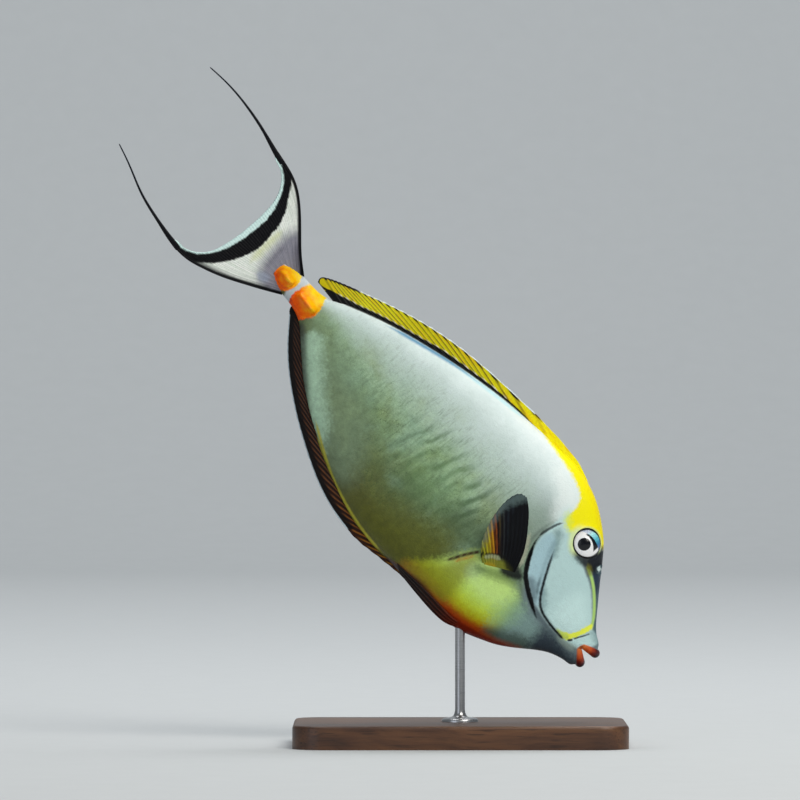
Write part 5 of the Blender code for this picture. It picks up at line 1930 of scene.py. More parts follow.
def dorsal_fin() -> UprightFin:
    """The yellow fin along the back, black at its root and dashed at its margin."""
    top = (
        (124, 60.8), (129, 60), (138, 59.7), (150, 57.9), (162, 55.8), (174, 52.8), (186, 49.8),
        (198, 46.5), (204, 44.1),
        (218, 38.8), (231, 33.6), (240, 29.7), (248.4, 25.5), (258, 21.6), (264, 18.9), (270, 16.5),
    )
    rim = tuple(p for p in DORSAL_MARGIN if 128 < p[0] < 275)
    front = tuple(p for p in DORSAL_MARGIN if 100 < p[0] < 152)
    finish = FinFinish(
        "dorsal_fin_skin",
        ((84, "fff600"), (118, "fff008"), (140, "e8dc0e"), (170, "d4cc0c"), (215, "cec608"),
         (245, "ddd81c"), (276, "c8ba0c")),
        ((84, "f0b400"), (126, "b89a08"), (160, "5a4c08"), (276, "3e3604")), 0.85, 0.14, (104.0, 140.0),
        streak="e8a404", streak_strength=0.5, dash_width=0.22,
        markings=(
            Marking(
                "band", "08090b", top + ((268, 12), (250, 10), (200, 30), (150, 50), (126, 54)), 0.35,
                wobble=0.6,
            ),
            Marking("band_top", "e9e2cc", top[3:-1], 0.3, width=0.75, dashed=True, strength=0.9),
            Marking("dashes", "0c0c06", inset_line(rim, 1.2), 0.3, width=1.2, dashed=True),
            Marking(
                "front_dashes", "0c0c06", inset_line(front, 0.5), 0.3, width=0.8, taper=(0.5, 0.1),
                dashed=True, strength=0.9,
            ),
            Marking("rim", "dfeef2", inset_line(rim, 0.2), 0.22, width=0.9),
            Marking(
                "rear_edge", "08090b", ((250, 33), (260, 28.2), (270, 23.0), (275, 20), (277.2, 17.2),
                (275.4, 14.6), (270, 15.4), (262, 19)), 0.35, width=1.5, taper=(0.2, 0.2),
            ),
        ),
    )
    lean = ((0.0, 2.6), (0.14, 16.0), (0.36, 32.0), (0.7, 36.0), (0.86, 31.0), (1.0, 18.2))
    spacing = (
        (76, 9), (100, 13), (125, 13.5), (145, 9), (160, 6.8), (185, 6.2), (210, 5.2), (235, 4.3),
        (259, 4.1),
    )
    base = (76.0, 259.0)
    return UprightFin("fin_dorsal", "dorsal_fin", "fin_yellow", base, DORSAL_MARGIN, spacing, lean, finish)


def anal_fin() -> UprightFin:
    """The dark fin under the rear half, with orange-brown rays and a pale margin."""
    rim = tuple(p for p in ANAL_MARGIN if 140 < p[0] < 273)
    finish = FinFinish(
        "anal_fin_skin",
        ((124, "3a1c0c"), (150, "2a130a"), (200, "1a0c08"), (275, "120a09")),
        ((124, "a8701c"), (150, "94581f"), (176, "6e4220"), (205, "5c351c"), (240, "4a2a16"),
         (275, "3a2010")), 0.9, 0.17,
        ray_reach=(0.9, 0.6), streak="070405", streak_strength=0.65,
        markings=(
            Marking(
                "root_line", "aaa63c", ((118, -58.4), (132, -58.9), (150, -58.8), (170, -55), (190, -49.4),
                (210, -42)), 0.5, width=1.5, taper=(0.1, 0.1), wobble=0.4, strength=0.85,
            ),
            Marking("submargin", "050405", inset_line(rim, -2.2), 0.7, width=3.4, wobble=0.5, strength=0.9),
            Marking("rim", "d6e8f0", inset_line(rim, -0.2), 0.22, width=0.85),
        ),
    )
    lean = ((0.0, 2.6), (0.16, 15.0), (0.38, 28.0), (0.7, 31.0), (0.86, 25.0), (1.0, 11.8))
    spacing = ((103, 5.4), (170, 4.9), (263, 4.4))
    base = (103.0, 263.0)
    return UprightFin("fin_anal", "anal_fin", "fin_brown", base, ANAL_MARGIN, spacing, lean, finish, False)


@dataclass(frozen=True)
class Lobe:
    """One half of the tail fin and its streamer, in the side view."""

    margin: Points
    fork: Points
    streamer: Points
    sign: int


UPPER_LOBE = Lobe(
    ((294.0, 17.0), (306.0, 26.4), (318.0, 35.6), (327.0, 40.9), (336.0, 43.9), (345.0, 45.2),
     (351.0, 45.9)),
    ((328.0, 8.0), (328.8, 18.0), (332.2, 30.0), (337.0, 36.2), (343.6, 40.3), (350.4, 42.3), (351.0, 42.9),
     (351.0, 45.9)),
    ((344.0, 43.3), (351.0, 44.2), (366.0, 46.8), (384.0, 48.6), (402.0, 48.4), (417.0, 46.4)), 1,
)
LOWER_LOBE = Lobe(
    ((291.0, -12.2), (303.0, -20.4), (315.0, -28.0), (327.0, -34.0), (336.0, -37.4), (345.0, -38.7),
     (351.0, -38.6)),
    ((328.0, -5.0), (329.0, -14.0), (331.8, -24.4), (337.0, -30.8), (343.6, -34.3), (350.4, -35.6),
     (351.0, -36.2), (351.0, -38.6)),
    ((344.0, -37.2), (351.0, -37.2), (366.0, -36.0), (384.0, -33.4), (402.0, -28.2), (416.0, -24.8)), -1,
)


@dataclass(frozen=True)
class TailFinish:
    """The tail: lilac-grey at its root, white, then a black crescent with a pale rim."""

    markings: tuple[Marking, ...] = (
        Marking(
            "root", "7f7d8e", ((276, 22), (288, 17), (299, 24), (307, 27), (311, 18), (309.5, 8),
            (307, -3), (302, -12), (291, -15), (276, -10)), 5.0, wobble=6.0, strength=0.9,
        ),
        Marking(
            "root_deep", "4a4855", ((284, 8), (292, 13), (300, 19), (306, 24)), 3.4, width=4.0,
            taper=(0.1, 0.4), wobble=4.0, strength=0.65,
        ),
        Marking(
            "root_light", "9aa4b8", ((296, -5), (301, -6), (304, -9.6), (300, -12.6), (295, -10)), 1.6,
            wobble=1.5, strength=0.7,
        ),
        Marking(
            "root_dark", "4e4d58", ((304, 15), (304.6, 8), (303.4, 0), (302, -6)), 1.8, width=1.6,
            taper=(0.2, 0.2), wobble=3.0, strength=0.4,
        ),
        Marking(
            "straw", "d2d998", ((313.6, 23), (313.0, 10), (312, -2), (309.8, -14)), 3.4, width=3.6,
            taper=(0.3, 0.3), wobble=6.0, strength=0.7,
        ),
        Marking(
            "lower_dark", "2e3238", ((292, -12), (302, -19.4), (314, -26.6), (326, -32), (332, -34)), 1.6,
            width=4.2, wobble=1.0, strength=0.7,
        ),
        Marking(
            "pale_rim", "d9f6f2", ((352, 42.6), (343.6, 40.5), (337, 36.4), (332.2, 30.2), (328.8, 18.2),
            (328, 8), (327.8, 0), (328, -6), (329, -14.2), (331.8, -24.6), (337, -31), (343.6, -34.5),
            (352, -35.6)), 0.5, width=9.0, wobble=0.3,
        ),
        Marking(
            "crescent", "020308", ((331, 40), (329.4, 36.8), (323.4, 30), (319.2, 24), (316.8, 18),
            (315.6, 12), (314.7, 6), (314.1, 0), (315, -6), (316.8, -12), (319.2, -18), (322.2, -22.8),
            (324.6, -27), (329.4, -31.4), (331, -34), (340, -40), (354, -40), (354, -36.8), (344, -35.8),
            (339.6, -34), (336.2, -31.6), (333, -28.2), (329.6, -22.8), (327.4, -18), (325.8, -12),
            (324.8, -6), (324.2, 0), (324.2, 12), (325, 18), (327, 24), (329.8, 30), (333.8, 35.6),
            (338.5, 39.6), (345, 42.4), (354, 44), (354, 48), (340, 47)), 0.6, wobble=5.0,
        ),
        Marking(
            "upper_edge", "020308", ((283, 9.6), (288, 13.4), (294, 17.6), (306, 26.8), (318, 36),
            (327, 41.2), (336, 44.2), (345, 45.4), (352, 46)), 0.6, width=4.6, wobble=0.4,
        ),
        Marking(
            "lower_edge", "020308", ((283, -7), (291, -12.8), (303, -21), (315, -28.6), (327, -34.6),
            (336, -38), (345, -39.2), (352, -39)), 0.6, width=4.8, wobble=0.4,
        ),
    )

    def make(self) -> bpy.types.Material:
        """Builds the material, which reads the ray number and the span from root to margin."""
        material, desk, shader = new_material("tail_fin_skin")
        place = desk.fish_place()
        ray, span = desk.number("ray"), desk.number("span")
        patchy = desk.noise(place, 0.3, 4.0, 0.6)
        fine = desk.group(EFFECTS.fine_grain, {"Place": place, "Size": 1.2})
        branches = desk.plus(desk.times(ray, 4.0), desk.times(patchy, 0.3))
        line = desk.group(EFFECTS.ray_lines, {"Ray": branches, "Width": 0.22}).outputs["Line"]
        streaks = desk.noise(desk.joined(desk.times(ray, 2.6), desk.times(span, 1.5)), 1.0, 4.0, 0.65)
        colour = desk.ramp(streaks, (0.3, "d4dfd2"), (0.5, "f0f6ee"), (0.68, "fdfffa"))
        colour = desk.mix(desk.times(line, 0.06), colour, "8b9890")
        teeth = desk.noise(desk.joined(desk.times(ray, 12.0), span), 1.0, 3.0, 0.7)
        feathered = desk.plus(desk.times(teeth, 0.6), desk.times(patchy, 0.4))
        colour = Painter(self.markings).paint(desk, colour, feathered)
        joints = desk.times(desk.math("SINE", desk.times(span, 120.0)), 0.2)
        relief = desk.plus(fine.outputs["Height"], desk.times(desk.plus(joints, 1.2), line))
        desk.fill(shader, {
            "Base Color": desk.toned(colour, desk.sway(fine.outputs["Tone"], 0.3)),
            "Roughness": desk.plus(desk.times(patchy, 0.16), 0.36),
            "Normal": desk.bump(relief, 0.00018, 0.8),
            "Specular IOR Level": 0.12, "Coat Weight": 0.05, "Coat Roughness": 0.25,
        })
        return material


@dataclass
class Tail:
    """The crescent tail fin, drawn out at both tips into long streamers."""

    focus: tuple[float, float] = (271.5, 1.8)
    root_radius: float = 15.0
    spread_degrees: float = 35.5
    fork_middle: float = 327.8
    rays: int = 9
    columns_per_ray: int = 10
    rows: int = 72
    root_half: float = 1.75
    edge_half: float = 0.3
    streamer_halves: Points = (
        (344.0, 1.9), (351.0, 1.6), (366.0, 0.95), (378.0, 0.8), (390.0, 0.62), (417.0, 0.35),
    )
    streamer_thick: tuple[float, float] = (0.45, 0.25)
    streamer_rings: int = 90
    streamer_sides: int = 16
    finish: TailFinish = field(default_factory=TailFinish)

    def lobe_sheet(self, lobe: Lobe, across: np.ndarray, along: np.ndarray) -> np.ndarray:
        """(behind, height) over one lobe, blended between its four edges.

        Args:
            lobe: The lobe.
            across: The share from the middle ray to the outer margin.
            along: The share from the root to the fork.

        Returns:
            An array of columns by rows by two.
        """
        focus = np.array(self.focus)
        angle = lobe.sign * math.radians(self.spread_degrees) * across
        root = focus + self.root_radius * np.stack([np.cos(angle), np.sin(angle)], axis=-1)
        outer = SmoothPath((tuple(root[-1]),) + lobe.margin)(along)
        fork = SmoothPath(((self.fork_middle, focus[1]),) + lobe.fork)(across)
        middle = root[0] + (np.array([self.fork_middle, focus[1]]) - root[0]) * along[:, None]
        a, b = across[:, None, None], along[None, :, None]
        sides = (1 - a) * middle[None] + a * outer[None]
        ends = (1 - b) * root[:, None] + b * fork[:, None]
        corners = (1 - a) * ((1 - b) * root[0] + b * fork[0]) + a * ((1 - b) * root[-1] + b * fork[-1])
        return sides + ends - corners

    def build(self) -> None:
        """Makes the fin as one sheet, and its two streamers."""
        across = np.linspace(0, 1, (self.rays - 1) * self.columns_per_ray + 1)
        along = np.linspace(0, 1, self.rows + 1)
        upper = self.lobe_sheet(UPPER_LOBE, across, along)
        lower = self.lobe_sheet(LOWER_LOBE, across, along)
        sheet = np.concatenate([lower[:0:-1], upper])
        reach = np.concatenate([-across[:0:-1], across])
        ray = (reach + 1) * (self.rays - 1)
        middle = np.stack([sheet[..., 0], np.zeros(sheet.shape[:2]), sheet[..., 1]], axis=-1)
        thick = self.root_half + (self.edge_half - self.root_half) * along**0.45
        branch = 0.65 * ray_ridge(ray)[:, None] + 0.35 * ray_ridge(ray * 2)[:, None] * smooth(along, 0.2, 0.6)
        edge = 0.35 * smooth(np.abs(reach), 0.9, 1.0)[:, None]
        half = thick * (0.6 + 0.4 * branch + edge) * np.sqrt(np.clip(1.03 - along**14, 0, 1))
        numbers = fin_numbers(ray[:, None], along, sheet, self.finish.markings)
        material = self.finish.make()
        piece = Workbench.pillow("fin_tail", middle, half, np.array([0.0, 1.0, 0.0]), numbers)
        Workbench.hand_over(piece, material, "tail_white", "tail_fin_upper", "tail_fin_lower")
        colours = ((344, "020308"), (380, "04070e"), (417, "0c1a28"))
        dark = FinFinish("streamer_skin", colours, ((344, "10161e"), (417, "16242e")), 0.3, 0.3).make()
        for lobe, name in ((UPPER_LOBE, "upper"), (LOWER_LOBE, "lower")):
            self.streamer(lobe, name, dark)

    def streamer(self, lobe: Lobe, name: str, material: bpy.types.Material) -> None:
        """A long flattened thread that tapers away from a lobe's tip.

        Args:
            lobe: The lobe that it leaves.
            name: The lobe's name.
            material: Its finish.
        """
        path = SmoothPath(lobe.streamer)
        share = np.linspace(0, 1, self.streamer_rings)
        places = path(share)
        ahead = np.gradient(places, axis=0)
        ahead /= np.linalg.norm(ahead, axis=1)[:, None]
        across = np.column_stack([-ahead[:, 1], ahead[:, 0]])
        stations = np.array(self.streamer_halves)
        tall = np.interp(places[:, 0], stations[:, 0], stations[:, 1])
        wide = self.streamer_thick[0] + (self.streamer_thick[1] - self.streamer_thick[0]) * share
        point = smooth(share, 1.0, 0.985) ** 0.5
        tall, wide = tall * point, wide * point
        tall[0] = wide[0] = 0.0
        turn = 2 * np.pi * np.arange(self.streamer_sides + 1) / self.streamer_sides
        lift = tall[:, None] * np.sin(turn)
        behind = places[:, :1] + across[:, :1] * lift
        height = places[:, 1:] + across[:, 1:] * lift
        side = wide[:, None] * np.cos(turn)
        middle = np.stack([behind, side, height], axis=-1)
        numbers = fin_numbers(np.sin(turn)[None, :], share[:, None], middle[..., ::2], ())
        piece = Workbench.laid_grid("streamer_" + name, POSE.place(middle), numbers)
        Workbench.close_up(piece)
        Workbench.hand_over(piece, material, "fin_black", "tail_streamer_" + name)


@dataclass
class PectoralFins:
    """The two breast fins, fanned out and swung away from the flanks."""

    root: Points = ((67.0, -4.6), (82.6, -16.4))
    leading: Points = ((73.4, 7.6), (82.6, 18.0), (92.4, 26.4), (97.6, 29.4))
    margin: Points = (
        (97.6, 29.4), (101.6, 28.0), (103.8, 22.6), (103.4, 14.6), (100.8, 5.0), (96.4, -4.2),
        (91.4, -11.0), (87.0, -14.6),
    )
    rays: int = 15
    columns_per_ray: int = 8
    rows: int = 44
    swing_degrees: float = 33.0
    tip_crowding: float = 1.35
    cup: float = 0.0032
    sunk: float = 5.0
    root_half: float = 1.5
    edge_half: float = 0.22
    finish: FinFinish = FinFinish(
        "pectoral_fin_skin",
        ((0, "06050f"), (6.2, "06050f"), (7.4, "1a0e0c"), (8.4, "52240e"), (9.3, "8a5c12"),
         (10.4, "97861a"), (12, "7c7a22"), (14, "6c7636")),
        ((0, "1c2430"), (5.6, "222c34"), (7, "40381e"), (8, "a4521a"), (8.9, "d0921c"), (10.2, "dccc22"),
         (12, "b8b828"), (14, "94a046")),
        0.9, 0.24, ray_least=0.0, streak="0b0b08", streak_strength=0.9,
        markings=(
            Marking(
                "fleshy_root", "8a8f30", ((66, -7), (71, -3.4), (77, -4.6), (82, -8.6), (88, -14),
                (88, -20), (80, -20), (70, -13)), 1.8, wobble=2.5, strength=0.85,
            ),
            Marking(
                "black_lead", "040509", ((66, 4), (76, 18), (86, 28), (97, 32), (100.4, 27), (97.6, 19.4),
                (94, 13), (88, 5.8), (83, 0.8), (78, -3.6), (73, -7), (66, -8)), 1.8, wobble=4.0,
                strength=0.85,
            ),
            Marking(
                "tip_haze", "667a78", ((95, 31.6), (101, 30.4), (105, 24), (105.4, 14), (103.4, 6),
                (99, -3), (93, -12), (91.6, -8), (97, 4), (100.6, 12), (99.6, 20), (97.0, 26)), 2.6,
                wobble=6, strength=0.62,
            ),
            Marking(
                "root_arc", "12140e", ((74, -3.4), (79, -3.6), (83.4, -6.8), (87.6, -12)), 0.7, width=1.5,
                taper=(0.3, 0.1), wobble=0.8, strength=0.85,
            ),
            # Painted highlight: a pale grey-green arc over the fleshy root.
            Marking(
                "crescent", "a3ad84", ((76.6, -5.6), (80.6, -6.6), (84.4, -10.0), (86.0, -14.0)), 0.8,
                width=2.2, taper=(0.3, 0.2), wobble=1.0, strength=0.85,
            ),
            Marking(
                "root_lens", "b09418", ((76, -10.4), (79.6, -12.4), (83, -15.6)), 1.2, width=3.0,
                taper=(0.3, 0.2), wobble=1.0, strength=0.8,
            ),
            # Painted shadow along the rear edge of the fin's root.
            Marking(
                "root_gap", "0c0e0a", ((88.6, -9), (88.2, -12.6), (86.4, -16), (84, -18)), 0.7, width=1.5,
                taper=(0.3, 0.1), wobble=0.8, strength=0.9,
            ),
        ),
        roughness=0.4, across=True,
    )

    def build(self) -> None:
        """Lays the right fin's two faces and mirrors them for the left."""
        columns = (self.rays - 1) * self.columns_per_ray + 1
        share = np.linspace(0, 1, columns)
        ray = share * (self.rays - 1)
        low, high = np.array(self.root[0]), np.array(self.root[1])
        base_line = (high - low) / np.linalg.norm(high - low)
        upward = np.array([-base_line[1], base_line[0]])
        upward *= np.sign(upward[1])
        leading = SmoothPath((self.root[0],) + self.leading)
        tips = SmoothPath(self.margin)(share**self.tip_crowding)
        first = tips[0].copy()
        scallop = 0.45 * (1 - ray_ridge(ray, 1.0)) * smooth(share, 0.0, 0.05) * smooth(share, 1.0, 0.95)
        roots = low + (high - low) * share[:, None]
        lengths = np.linalg.norm(tips - roots, axis=1)[:, None]
        tips = tips - (tips - roots) / lengths * scallop[:, None]
        span = np.linspace(-0.14, 1, self.rows + 1)
        along = np.clip(span, 0, 1)
        place = roots[:, None] + (tips - roots)[:, None] * along[None, :, None]
        bow = leading(along) - (low + (first - low) * along[:, None])
        place = place + bow[None] * ((1 - share) ** 2)[:, None, None]
        place = place + (upward * self.sunk) * (np.minimum(span, 0) / 0.14)[None, :, None]
        sides = BODY.side_at(np.array([low[0], high[0]]), np.array([low[1], high[1]]))
        root_side = (sides[0] + (sides[1] - sides[0]) * share)[:, None]
        reach = (place - roots[:, None]) @ upward
        swing = math.tan(math.radians(self.swing_degrees))
        out = root_side + reach * swing - self.cup * np.maximum(reach, 0) ** 2
        middle = np.stack([place[..., 0], -out, place[..., 1]], axis=-1)
        tangent = np.array([base_line[0], 0.0, base_line[1]])
        ray_way = np.array([upward[0], -swing, upward[1]])
        away = np.cross(tangent, ray_way)
        away /= np.linalg.norm(away)
        thick = self.root_half + (self.edge_half - self.root_half) * along**0.55
        hollows = 1 - ray_ridge(ray, 1.5)[:, None]
        thin = 1 - 0.5 * hollows * smooth(along, 0.04, 0.3)
        half = thick * thin * np.sqrt(np.clip(1.02 - along**8, 0, 1))
        numbers = fin_numbers(ray[:, None], along, place, self.finish.markings)
        material = self.finish.make()
        right = Workbench.pillow("fin_pectoral_right", middle, half, away, numbers)
        Workbench.hand_over_pair(right, material, "fin_black", "pectoral_fin")


@dataclass
class PelvicFins:
    """The two small belly fins, folded back beside the belly's keel."""

    start: float = 63.0
    end: float = 116.0
    outer: tuple[float, float] = (9.4, 4.2)
    inner: tuple[float, float] = (2.4, -1.9)
    rays: int = 4
    columns_per_ray: int = 14
    rows: int = 60
    root_half: float = 0.95
    edge_half: float = 0.25
    finish: FinFinish = FinFinish(
        "pelvic_fin_skin", ((60, "6a1c0c"), (78, "2a110b"), (96, "120a09"), (118, "0c0808")),
        ((60, "8a3a1c"), (90, "4c2414"), (118, "3a1c10")), 0.6, 0.16, streak="060304", streak_strength=0.5,
    )

    def build(self) -> None:
        """Lays the right fin's two faces and mirrors them for the left."""
        columns = (self.rays - 1) * self.columns_per_ray + 1
        share = np.linspace(0, 1, columns)[:, None]
        along = np.linspace(0, 1, self.rows + 1)[None, :]
        spread = np.sin(np.pi * (0.12 + 0.78 * along**0.8)) ** 0.7
        spot = 0.45 + (share - 0.45) * spread
        behind = self.start + (self.end - 5.0 * share - self.start) * along
        sink = 1.6 * (1 - np.minimum(along / 0.2, 1.0)) ** 2
        side = self.outer[0] + (self.inner[0] - self.outer[0]) * spot - sink
        height = BODY.belly(behind) + self.outer[1] + (self.inner[1] - self.outer[1]) * spot + sink
        middle = np.stack([behind, -side, height], axis=-1)
        away = np.array([0.0, self.outer[1] - self.inner[1], self.outer[0] - self.inner[0]])
        away /= np.linalg.norm(away)
        ray = share * (self.rays - 1) * np.ones_like(behind)
        thick = self.root_half + (self.edge_half - self.root_half) * along
        half = thick * (0.5 + 0.5 * ray_ridge(ray, 1.5)) * np.sqrt(np.clip(1.02 - along**8, 0, 1))
        numbers = fin_numbers(ray, along, middle[..., ::2], self.finish.markings)
        material = self.finish.make()
        right = Workbench.pillow("fin_pelvic_right", middle, half, away, numbers)
        Workbench.hand_over_pair(right, material, "fin_brown", "pelvic_fin")


@dataclass(frozen=True)
class KeelFinish:
    """The bony keels: yellow-orange above with painted light, red-orange below with painted shade, smooth,
    and with a painted highlight that makes the blade pale.
    """

    def make(self) -> bpy.types.Material:
        """Builds the material."""
        material, desk, shader = new_material("keel_orange_bone")
        place = desk.fish_place()
        patchy = desk.noise(place, 0.5, 4.0, 0.6)
        fine = desk.group(EFFECTS.fine_grain, {"Place": place, "Size": 1.4})
        # The keels' orange, with painted light above and painted shade below.
        colour = bone_orange_painted_light(desk, *desk.behind_and_height(place), place)
        # Painted highlight: a pale gleam along the crest of the blade.
        blade_highlight = desk.times(desk.step(desk.number("blade"), 0.72, 1.0), 0.12)
        desk.fill(shader, {
            "Base Color": desk.mix(blade_highlight, colour, "ffd070"),
            "Roughness": desk.plus(desk.times(patchy, 0.15), 0.28),
            "Normal": desk.bump(fine.outputs["Height"], 0.00012, 0.7),
            "Specular IOR Level": 0.1, "Coat Weight": 0.03, "Coat Roughness": 0.2,
        })
        return material


@dataclass(frozen=True)
class KeelShape:
    """One bony plate with its forward-hooked blade."""

    name: str
    at: tuple[float, float]
    half: tuple[float, float]
    blade: float


@dataclass
class Keels:
    """The two keels on each side of the tail stalk."""

    shapes: tuple[KeelShape, ...] = (
        KeelShape("front", (270.6, 1.4), (8.4, 8.6), 5.6),
        KeelShape("rear", (290.2, 2.0), (6.6, 5.4), 5.2),
    )
    plate: float = 0.55
    hook: float = 0.55
    edge: float = 2.7
    seat_rise: float = 0.25
    seat_sink: float = 0.6
    columns: int = 56
    rows: int = 44
    finish: KeelFinish = field(default_factory=KeelFinish)

    def build(self) -> None:
        """Makes the right-hand keels and mirrors them."""
        material = self.finish.make()
        for shape in self.shapes:
            Workbench.hand_over_pair(self.keel(shape), material, "keel_orange", "keel_" + shape.name)

    def keel(self, shape: KeelShape) -> bpy.types.Object:
        """One right-hand keel, laid over the stalk's skin.

        Args:
            shape: Where it is and how large.

        Returns:
            The piece.
        """
        across = np.linspace(-1, 1, self.columns + 1)[:, None]
        up = np.linspace(-1, 1, self.rows + 1)[None, :]
        x, y = across * np.sqrt(1 - up**2 / 2), up * np.sqrt(1 - across**2 / 2)
        behind = shape.at[0] + shape.half[0] * x
        height = shape.at[1] + shape.half[1] * y
        seat = BODY.side_at(behind, height)
        inside = 1 - np.minimum(x**2 + y**2, 1.0)
        crest = bell(height - shape.at[1], self.edge * 0.8)
        swell = np.sin(np.pi * (across + 1) / 2) ** 0.8
        rise = self.plate * inside**0.5 + shape.blade * crest * swell * np.minimum(inside * 3, 1.0)
        hook = self.hook * shape.blade * crest * swell**2
        top = np.stack([behind - hook, -(seat + rise + self.seat_rise), height], axis=-1)
        floor = np.stack([behind, -(seat - self.seat_sink), height], axis=-1)
        rim = inside <= 1e-9
        top[rim] = floor[rim]
        blade = crest * swell
        middle, away = (top + floor) / 2, (top - floor) / 2
        name = f"keel_blade_{shape.name}_right"
        return Workbench.pillow(name, middle, np.ones_like(blade), away, {"blade": blade})


@dataclass(frozen=True)
class WalnutFinish:
    """Oiled walnut with its grain along the base."""

    def make(self) -> bpy.types.Material:
        """Builds the material."""
        material, desk, shader = new_material("stand_walnut_oiled")
        place = desk.object_place()
        drift = desk.scaled(desk.noise(place, 9.0, 2.0), 0.03)
        bent = desk.put("VectorMath", {0: place, 1: drift}, operation="ADD").outputs[0]
        bands = desk.noise(desk.stretched(bent, (2.2, 26.0, 30.0)), 3.2, 5.0, 0.62)
        pores = desk.noise(desk.stretched(place, (30.0, 620.0, 620.0)), 1.4, 3.0, 0.6)
        colour = desk.ramp(bands, (0.28, "2c1a10"), (0.45, "4a2d1b"), (0.6, "634026"), (0.78, "7a5335"))
        desk.fill(shader, {
            "Base Color": desk.mix(desk.times(desk.step(pores, 0.46, 0.34), 0.6), colour, "21130b"),
            "Roughness": desk.plus(desk.times(bands, 0.16), 0.34),
            "Normal": desk.bump(desk.plus(bands, pores), 0.00012, 0.6),
            "Coat Weight": 0.12, "Coat Roughness": 0.3,
        })
        return material


@dataclass(frozen=True)
class SteelFinish:
    """Turned steel, brushed round its axis."""

    def make(self) -> bpy.types.Material:
        """Builds the material."""
        material, desk, shader = new_material("stand_steel_brushed")
        place = desk.object_place()
        rings = desk.noise(desk.stretched(place, (60.0, 60.0, 4200.0)), 1.0, 3.0, 0.6)
        rough = desk.plus(desk.times(desk.noise(place, 90.0, 3.0), 0.12), 0.16)
        desk.fill(shader, {
            "Base Color": desk.ramp(rings, (0.3, "a3a4a6"), (0.7, "c3c4c6")),
            "Roughness": desk.plus(desk.times(rings, 0.14), rough),
            "Normal": desk.bump(rings, 0.00003, 0.5),
            "Metallic": 1.0,
        })
        return material


@dataclass
class Stand:
    """A walnut base with softened edges, and a turned steel rod that holds the fish."""

    size: tuple[float, float, float] = (200.0, 120.0, 14.0)
    corner: float = 18.0
    bevel: float = 2.0
    rod_radius: float = 3.0
    flange: Points = (
        (11.0, 0.0), (11.0, 1.3), (10.7, 1.8), (9.6, 2.4), (7.4, 2.8), (4.9, 3.2), (3.9, 4.0), (3.3, 5.4),
        (3.0, 7.4),
    )
    foot_sink: float = 0.2
    seat: float = 1.2
    segments: int = 72

    def base(self) -> bpy.types.Object:
        """The base, from a block whose upright edges and then its rims are bevelled."""
        length, width, thickness = (v * MM for v in self.size)
        Workbench.clear_selection()
        middle = (0, 0, thickness / 2)
        bpy.ops.mesh.primitive_cube_add(size=1, location=middle, scale=(length, width, thickness))
        block = Workbench.named("stand_base_walnut")
        bpy.ops.object.transform_apply(location=True, rotation=True, scale=True)
        for offset, segments, wanted in (
            (self.corner, 20, lambda low, high: high - low > thickness / 2),
            (self.bevel, 5, lambda low, high: low > thickness - 1e-6),
        ):
            Workbench.pick_edges(block.data, wanted)
            bpy.ops.mesh.bevel(offset=offset * MM, segments=segments, affect="EDGES")
        bpy.ops.object.mode_set(mode="OBJECT")
        bpy.ops.object.shade_smooth_by_angle(angle=math.radians(32))
        return block

    def belly_height(self) -> float:
        """Where the rod meets the fish's belly, in millimetres above the floor."""
        for height in np.arange(15.0, 100.0, 0.05):
            behind, level = POSE.fish_place(0.0, height)
            if level > float(BODY.belly(behind)):
                return height
        raise ValueError("the rod doesn't reach the fish")

    def rod(self) -> bpy.types.Object:
        """The rod and its flange, spun from half of its profile."""
        floor = self.size[2] - self.foot_sink
        top = self.belly_height() + self.seat
        flange = [(radius, floor + level) for radius, level in self.flange]
        profile = [(0.0, floor), *flange, (self.rod_radius, top), (0.0, top)]
        Workbench.clear_selection()
        bpy.ops.mesh.primitive_circle_add(vertices=len(profile), radius=1.0)
        rod = Workbench.named("stand_rod_steel")
        mesh = rod.data
        for vertex, (radius, level) in zip(mesh.vertices, profile):
            vertex.co = Vector((radius, 0.0, level)) * MM
        length = (top - floor) * MM
        Workbench.pick_edges(mesh, lambda low, high: high - low > length - 1e-6)
        bpy.ops.mesh.delete(type="EDGE_FACE")
        bpy.ops.mesh.select_all(action="SELECT")
        bpy.ops.mesh.spin(steps=self.segments, angle=2 * math.pi, center=(0, 0, 0), axis=(0, 0, 1))
        bpy.ops.object.mode_set(mode="OBJECT")
        Workbench.close_up(rod, 1e-5)
        bpy.ops.object.shade_smooth_by_angle(angle=math.radians(38))
        return rod

    def build(self) -> None:
        """Makes and dresses the base and the rod."""
        Workbench.hand_over(self.base(), WalnutFinish().make(), "stand_walnut", "stand_base")
        Workbench.hand_over(self.rod(), SteelFinish().make(), "stand_steel", "stand_rod")


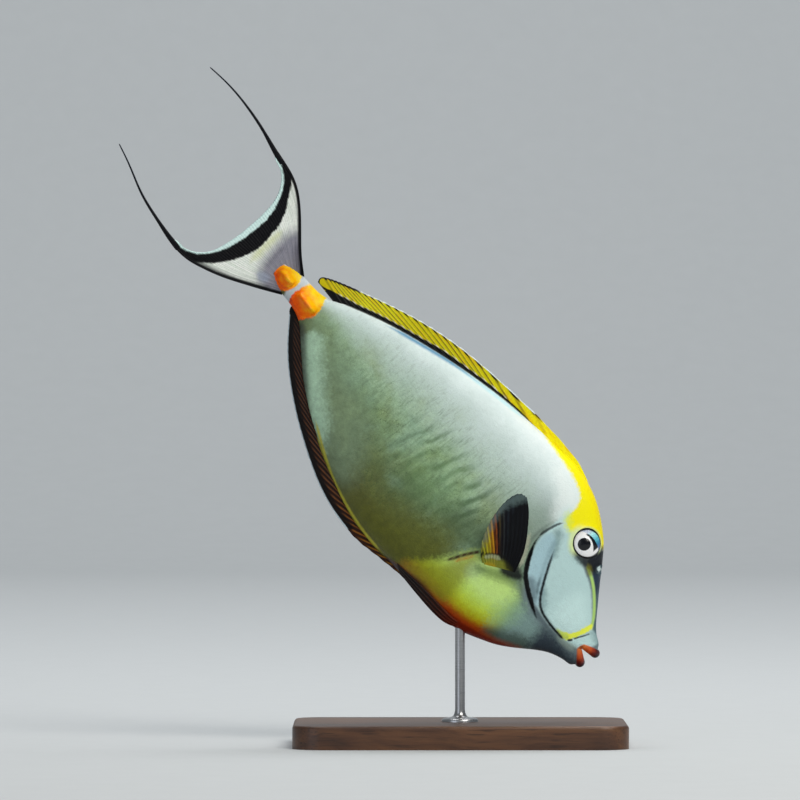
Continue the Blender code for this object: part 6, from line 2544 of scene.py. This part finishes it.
@dataclass
class Studio:
    """A pale sweep of paper, soft lights and the camera."""

    camera_at: tuple[float, float, float] = (-0.036, -4.0, 0.207)
    lens: float = 300.0
    sweep_half_width: float = 3.0
    sweep_front: float = -4.6
    sweep_back: float = 6.0
    sweep_radius: float = 2.0
    sweep_top: float = 6.0
    paper: str = "c3c7c9"
    world: str = "dfe6ea"
    world_strength: float = 0.26

    def sweep(self) -> None:
        """The paper: a flat floor that curves up into a wall."""
        Workbench.clear_selection()
        turn = np.linspace(0, np.pi / 2, 24)
        bend_y = self.sweep_back - self.sweep_radius + self.sweep_radius * np.sin(turn)
        bend_z = self.sweep_radius - self.sweep_radius * np.cos(turn)
        y = np.concatenate([[self.sweep_front], bend_y, [self.sweep_back]])
        z = np.concatenate([[0.0], bend_z, [self.sweep_top]])
        x = np.array([-self.sweep_half_width, self.sweep_half_width])
        places = np.stack(np.broadcast_arrays(x[:, None], y[None, :], z[None, :]), axis=-1)
        paper = Workbench.laid_grid("paper_sweep", places)
        bpy.ops.object.shade_smooth()
        material, desk, shader = new_material("paper")
        grain = desk.noise(desk.object_place(), 40.0, 3.0)
        colour = desk.mix(grain, self.paper, "c7cbcd")
        desk.fill(shader, {"Base Color": colour, "Roughness": 0.9, "Specular IOR Level": 0.1})
        paper.data.materials.append(material)

    @staticmethod
    def lamp(name: str, at: Place, aim: Place, size: float, power: float, colour: str) -> None:
        """A soft square light that looks at a place.

        Args:
            name: Its name.
            at: Where it stands.
            aim: What it looks at.
            size: The length of its side.
            power: Its power in watts.
            colour: Its colour code.
        """
        light = bpy.data.lights.new(name, "AREA")
        light.size, light.energy, light.color = size, power, linear_colour(colour)[:3]
        holder = bpy.data.objects.new(name, light)
        holder.location = at
        holder.rotation_euler = (Vector(aim) - Vector(at)).to_track_quat("-Z", "Y").to_euler()
        bpy.context.scene.collection.objects.link(holder)

    def build(self) -> None:
        """Sets the sweep, the lights and the camera."""
        self.sweep()
        middle = (-0.03, 0.0, 0.22)
        self.lamp("key", (1.0, -1.5, 1.6), middle, 1.1, 31.0, "fffaf2")
        self.lamp("fill", (-1.7, -2.2, 0.7), middle, 1.8, 9.5, "eef4ff")
        self.lamp("top", (0.3, 0.5, 1.9), middle, 1.2, 13.0, "ffffff")
        self.lamp("backdrop", (0.0, 1.6, 4.4), (0.0, 5.6, 0.6), 3.0, 150.0, "ffffff")
        world = bpy.data.worlds.new("soft_room")
        world.use_nodes = True
        background = world.node_tree.nodes["Background"]
        background.inputs[0].default_value = linear_colour(self.world)
        background.inputs[1].default_value = self.world_strength
        scene = bpy.context.scene
        scene.world = world
        scene.view_settings.view_transform = "Standard"
        lens = bpy.data.cameras.new("camera")
        lens.lens, lens.sensor_width, lens.clip_end = self.lens, 36.0, 50.0
        camera = bpy.data.objects.new("camera", lens)
        camera.location = self.camera_at
        camera.rotation_euler = (math.pi / 2, 0.0, 0.0)
        scene.collection.objects.link(camera)
        scene.camera = camera


def main() -> None:
    """Builds the fish, its stand and the studio, and reports each part."""
    logging.basicConfig(level=logging.INFO, format="%(name)s: %(message)s")
    skin = Skin()
    skin.dress(skin.build())
    LOG.info("skin done")
    Eyes().build()
    LOG.info("eyes done")
    dorsal_fin().build()
    anal_fin().build()
    Tail().build()
    PectoralFins().build()
    PelvicFins().build()
    LOG.info("fins done")
    Keels().build()
    Stand().build()
    LOG.info("keels and stand done")
    Studio().build()
    Workbench.clear_selection()
    LOG.info("size written")


if __name__ == "__main__":
    main()
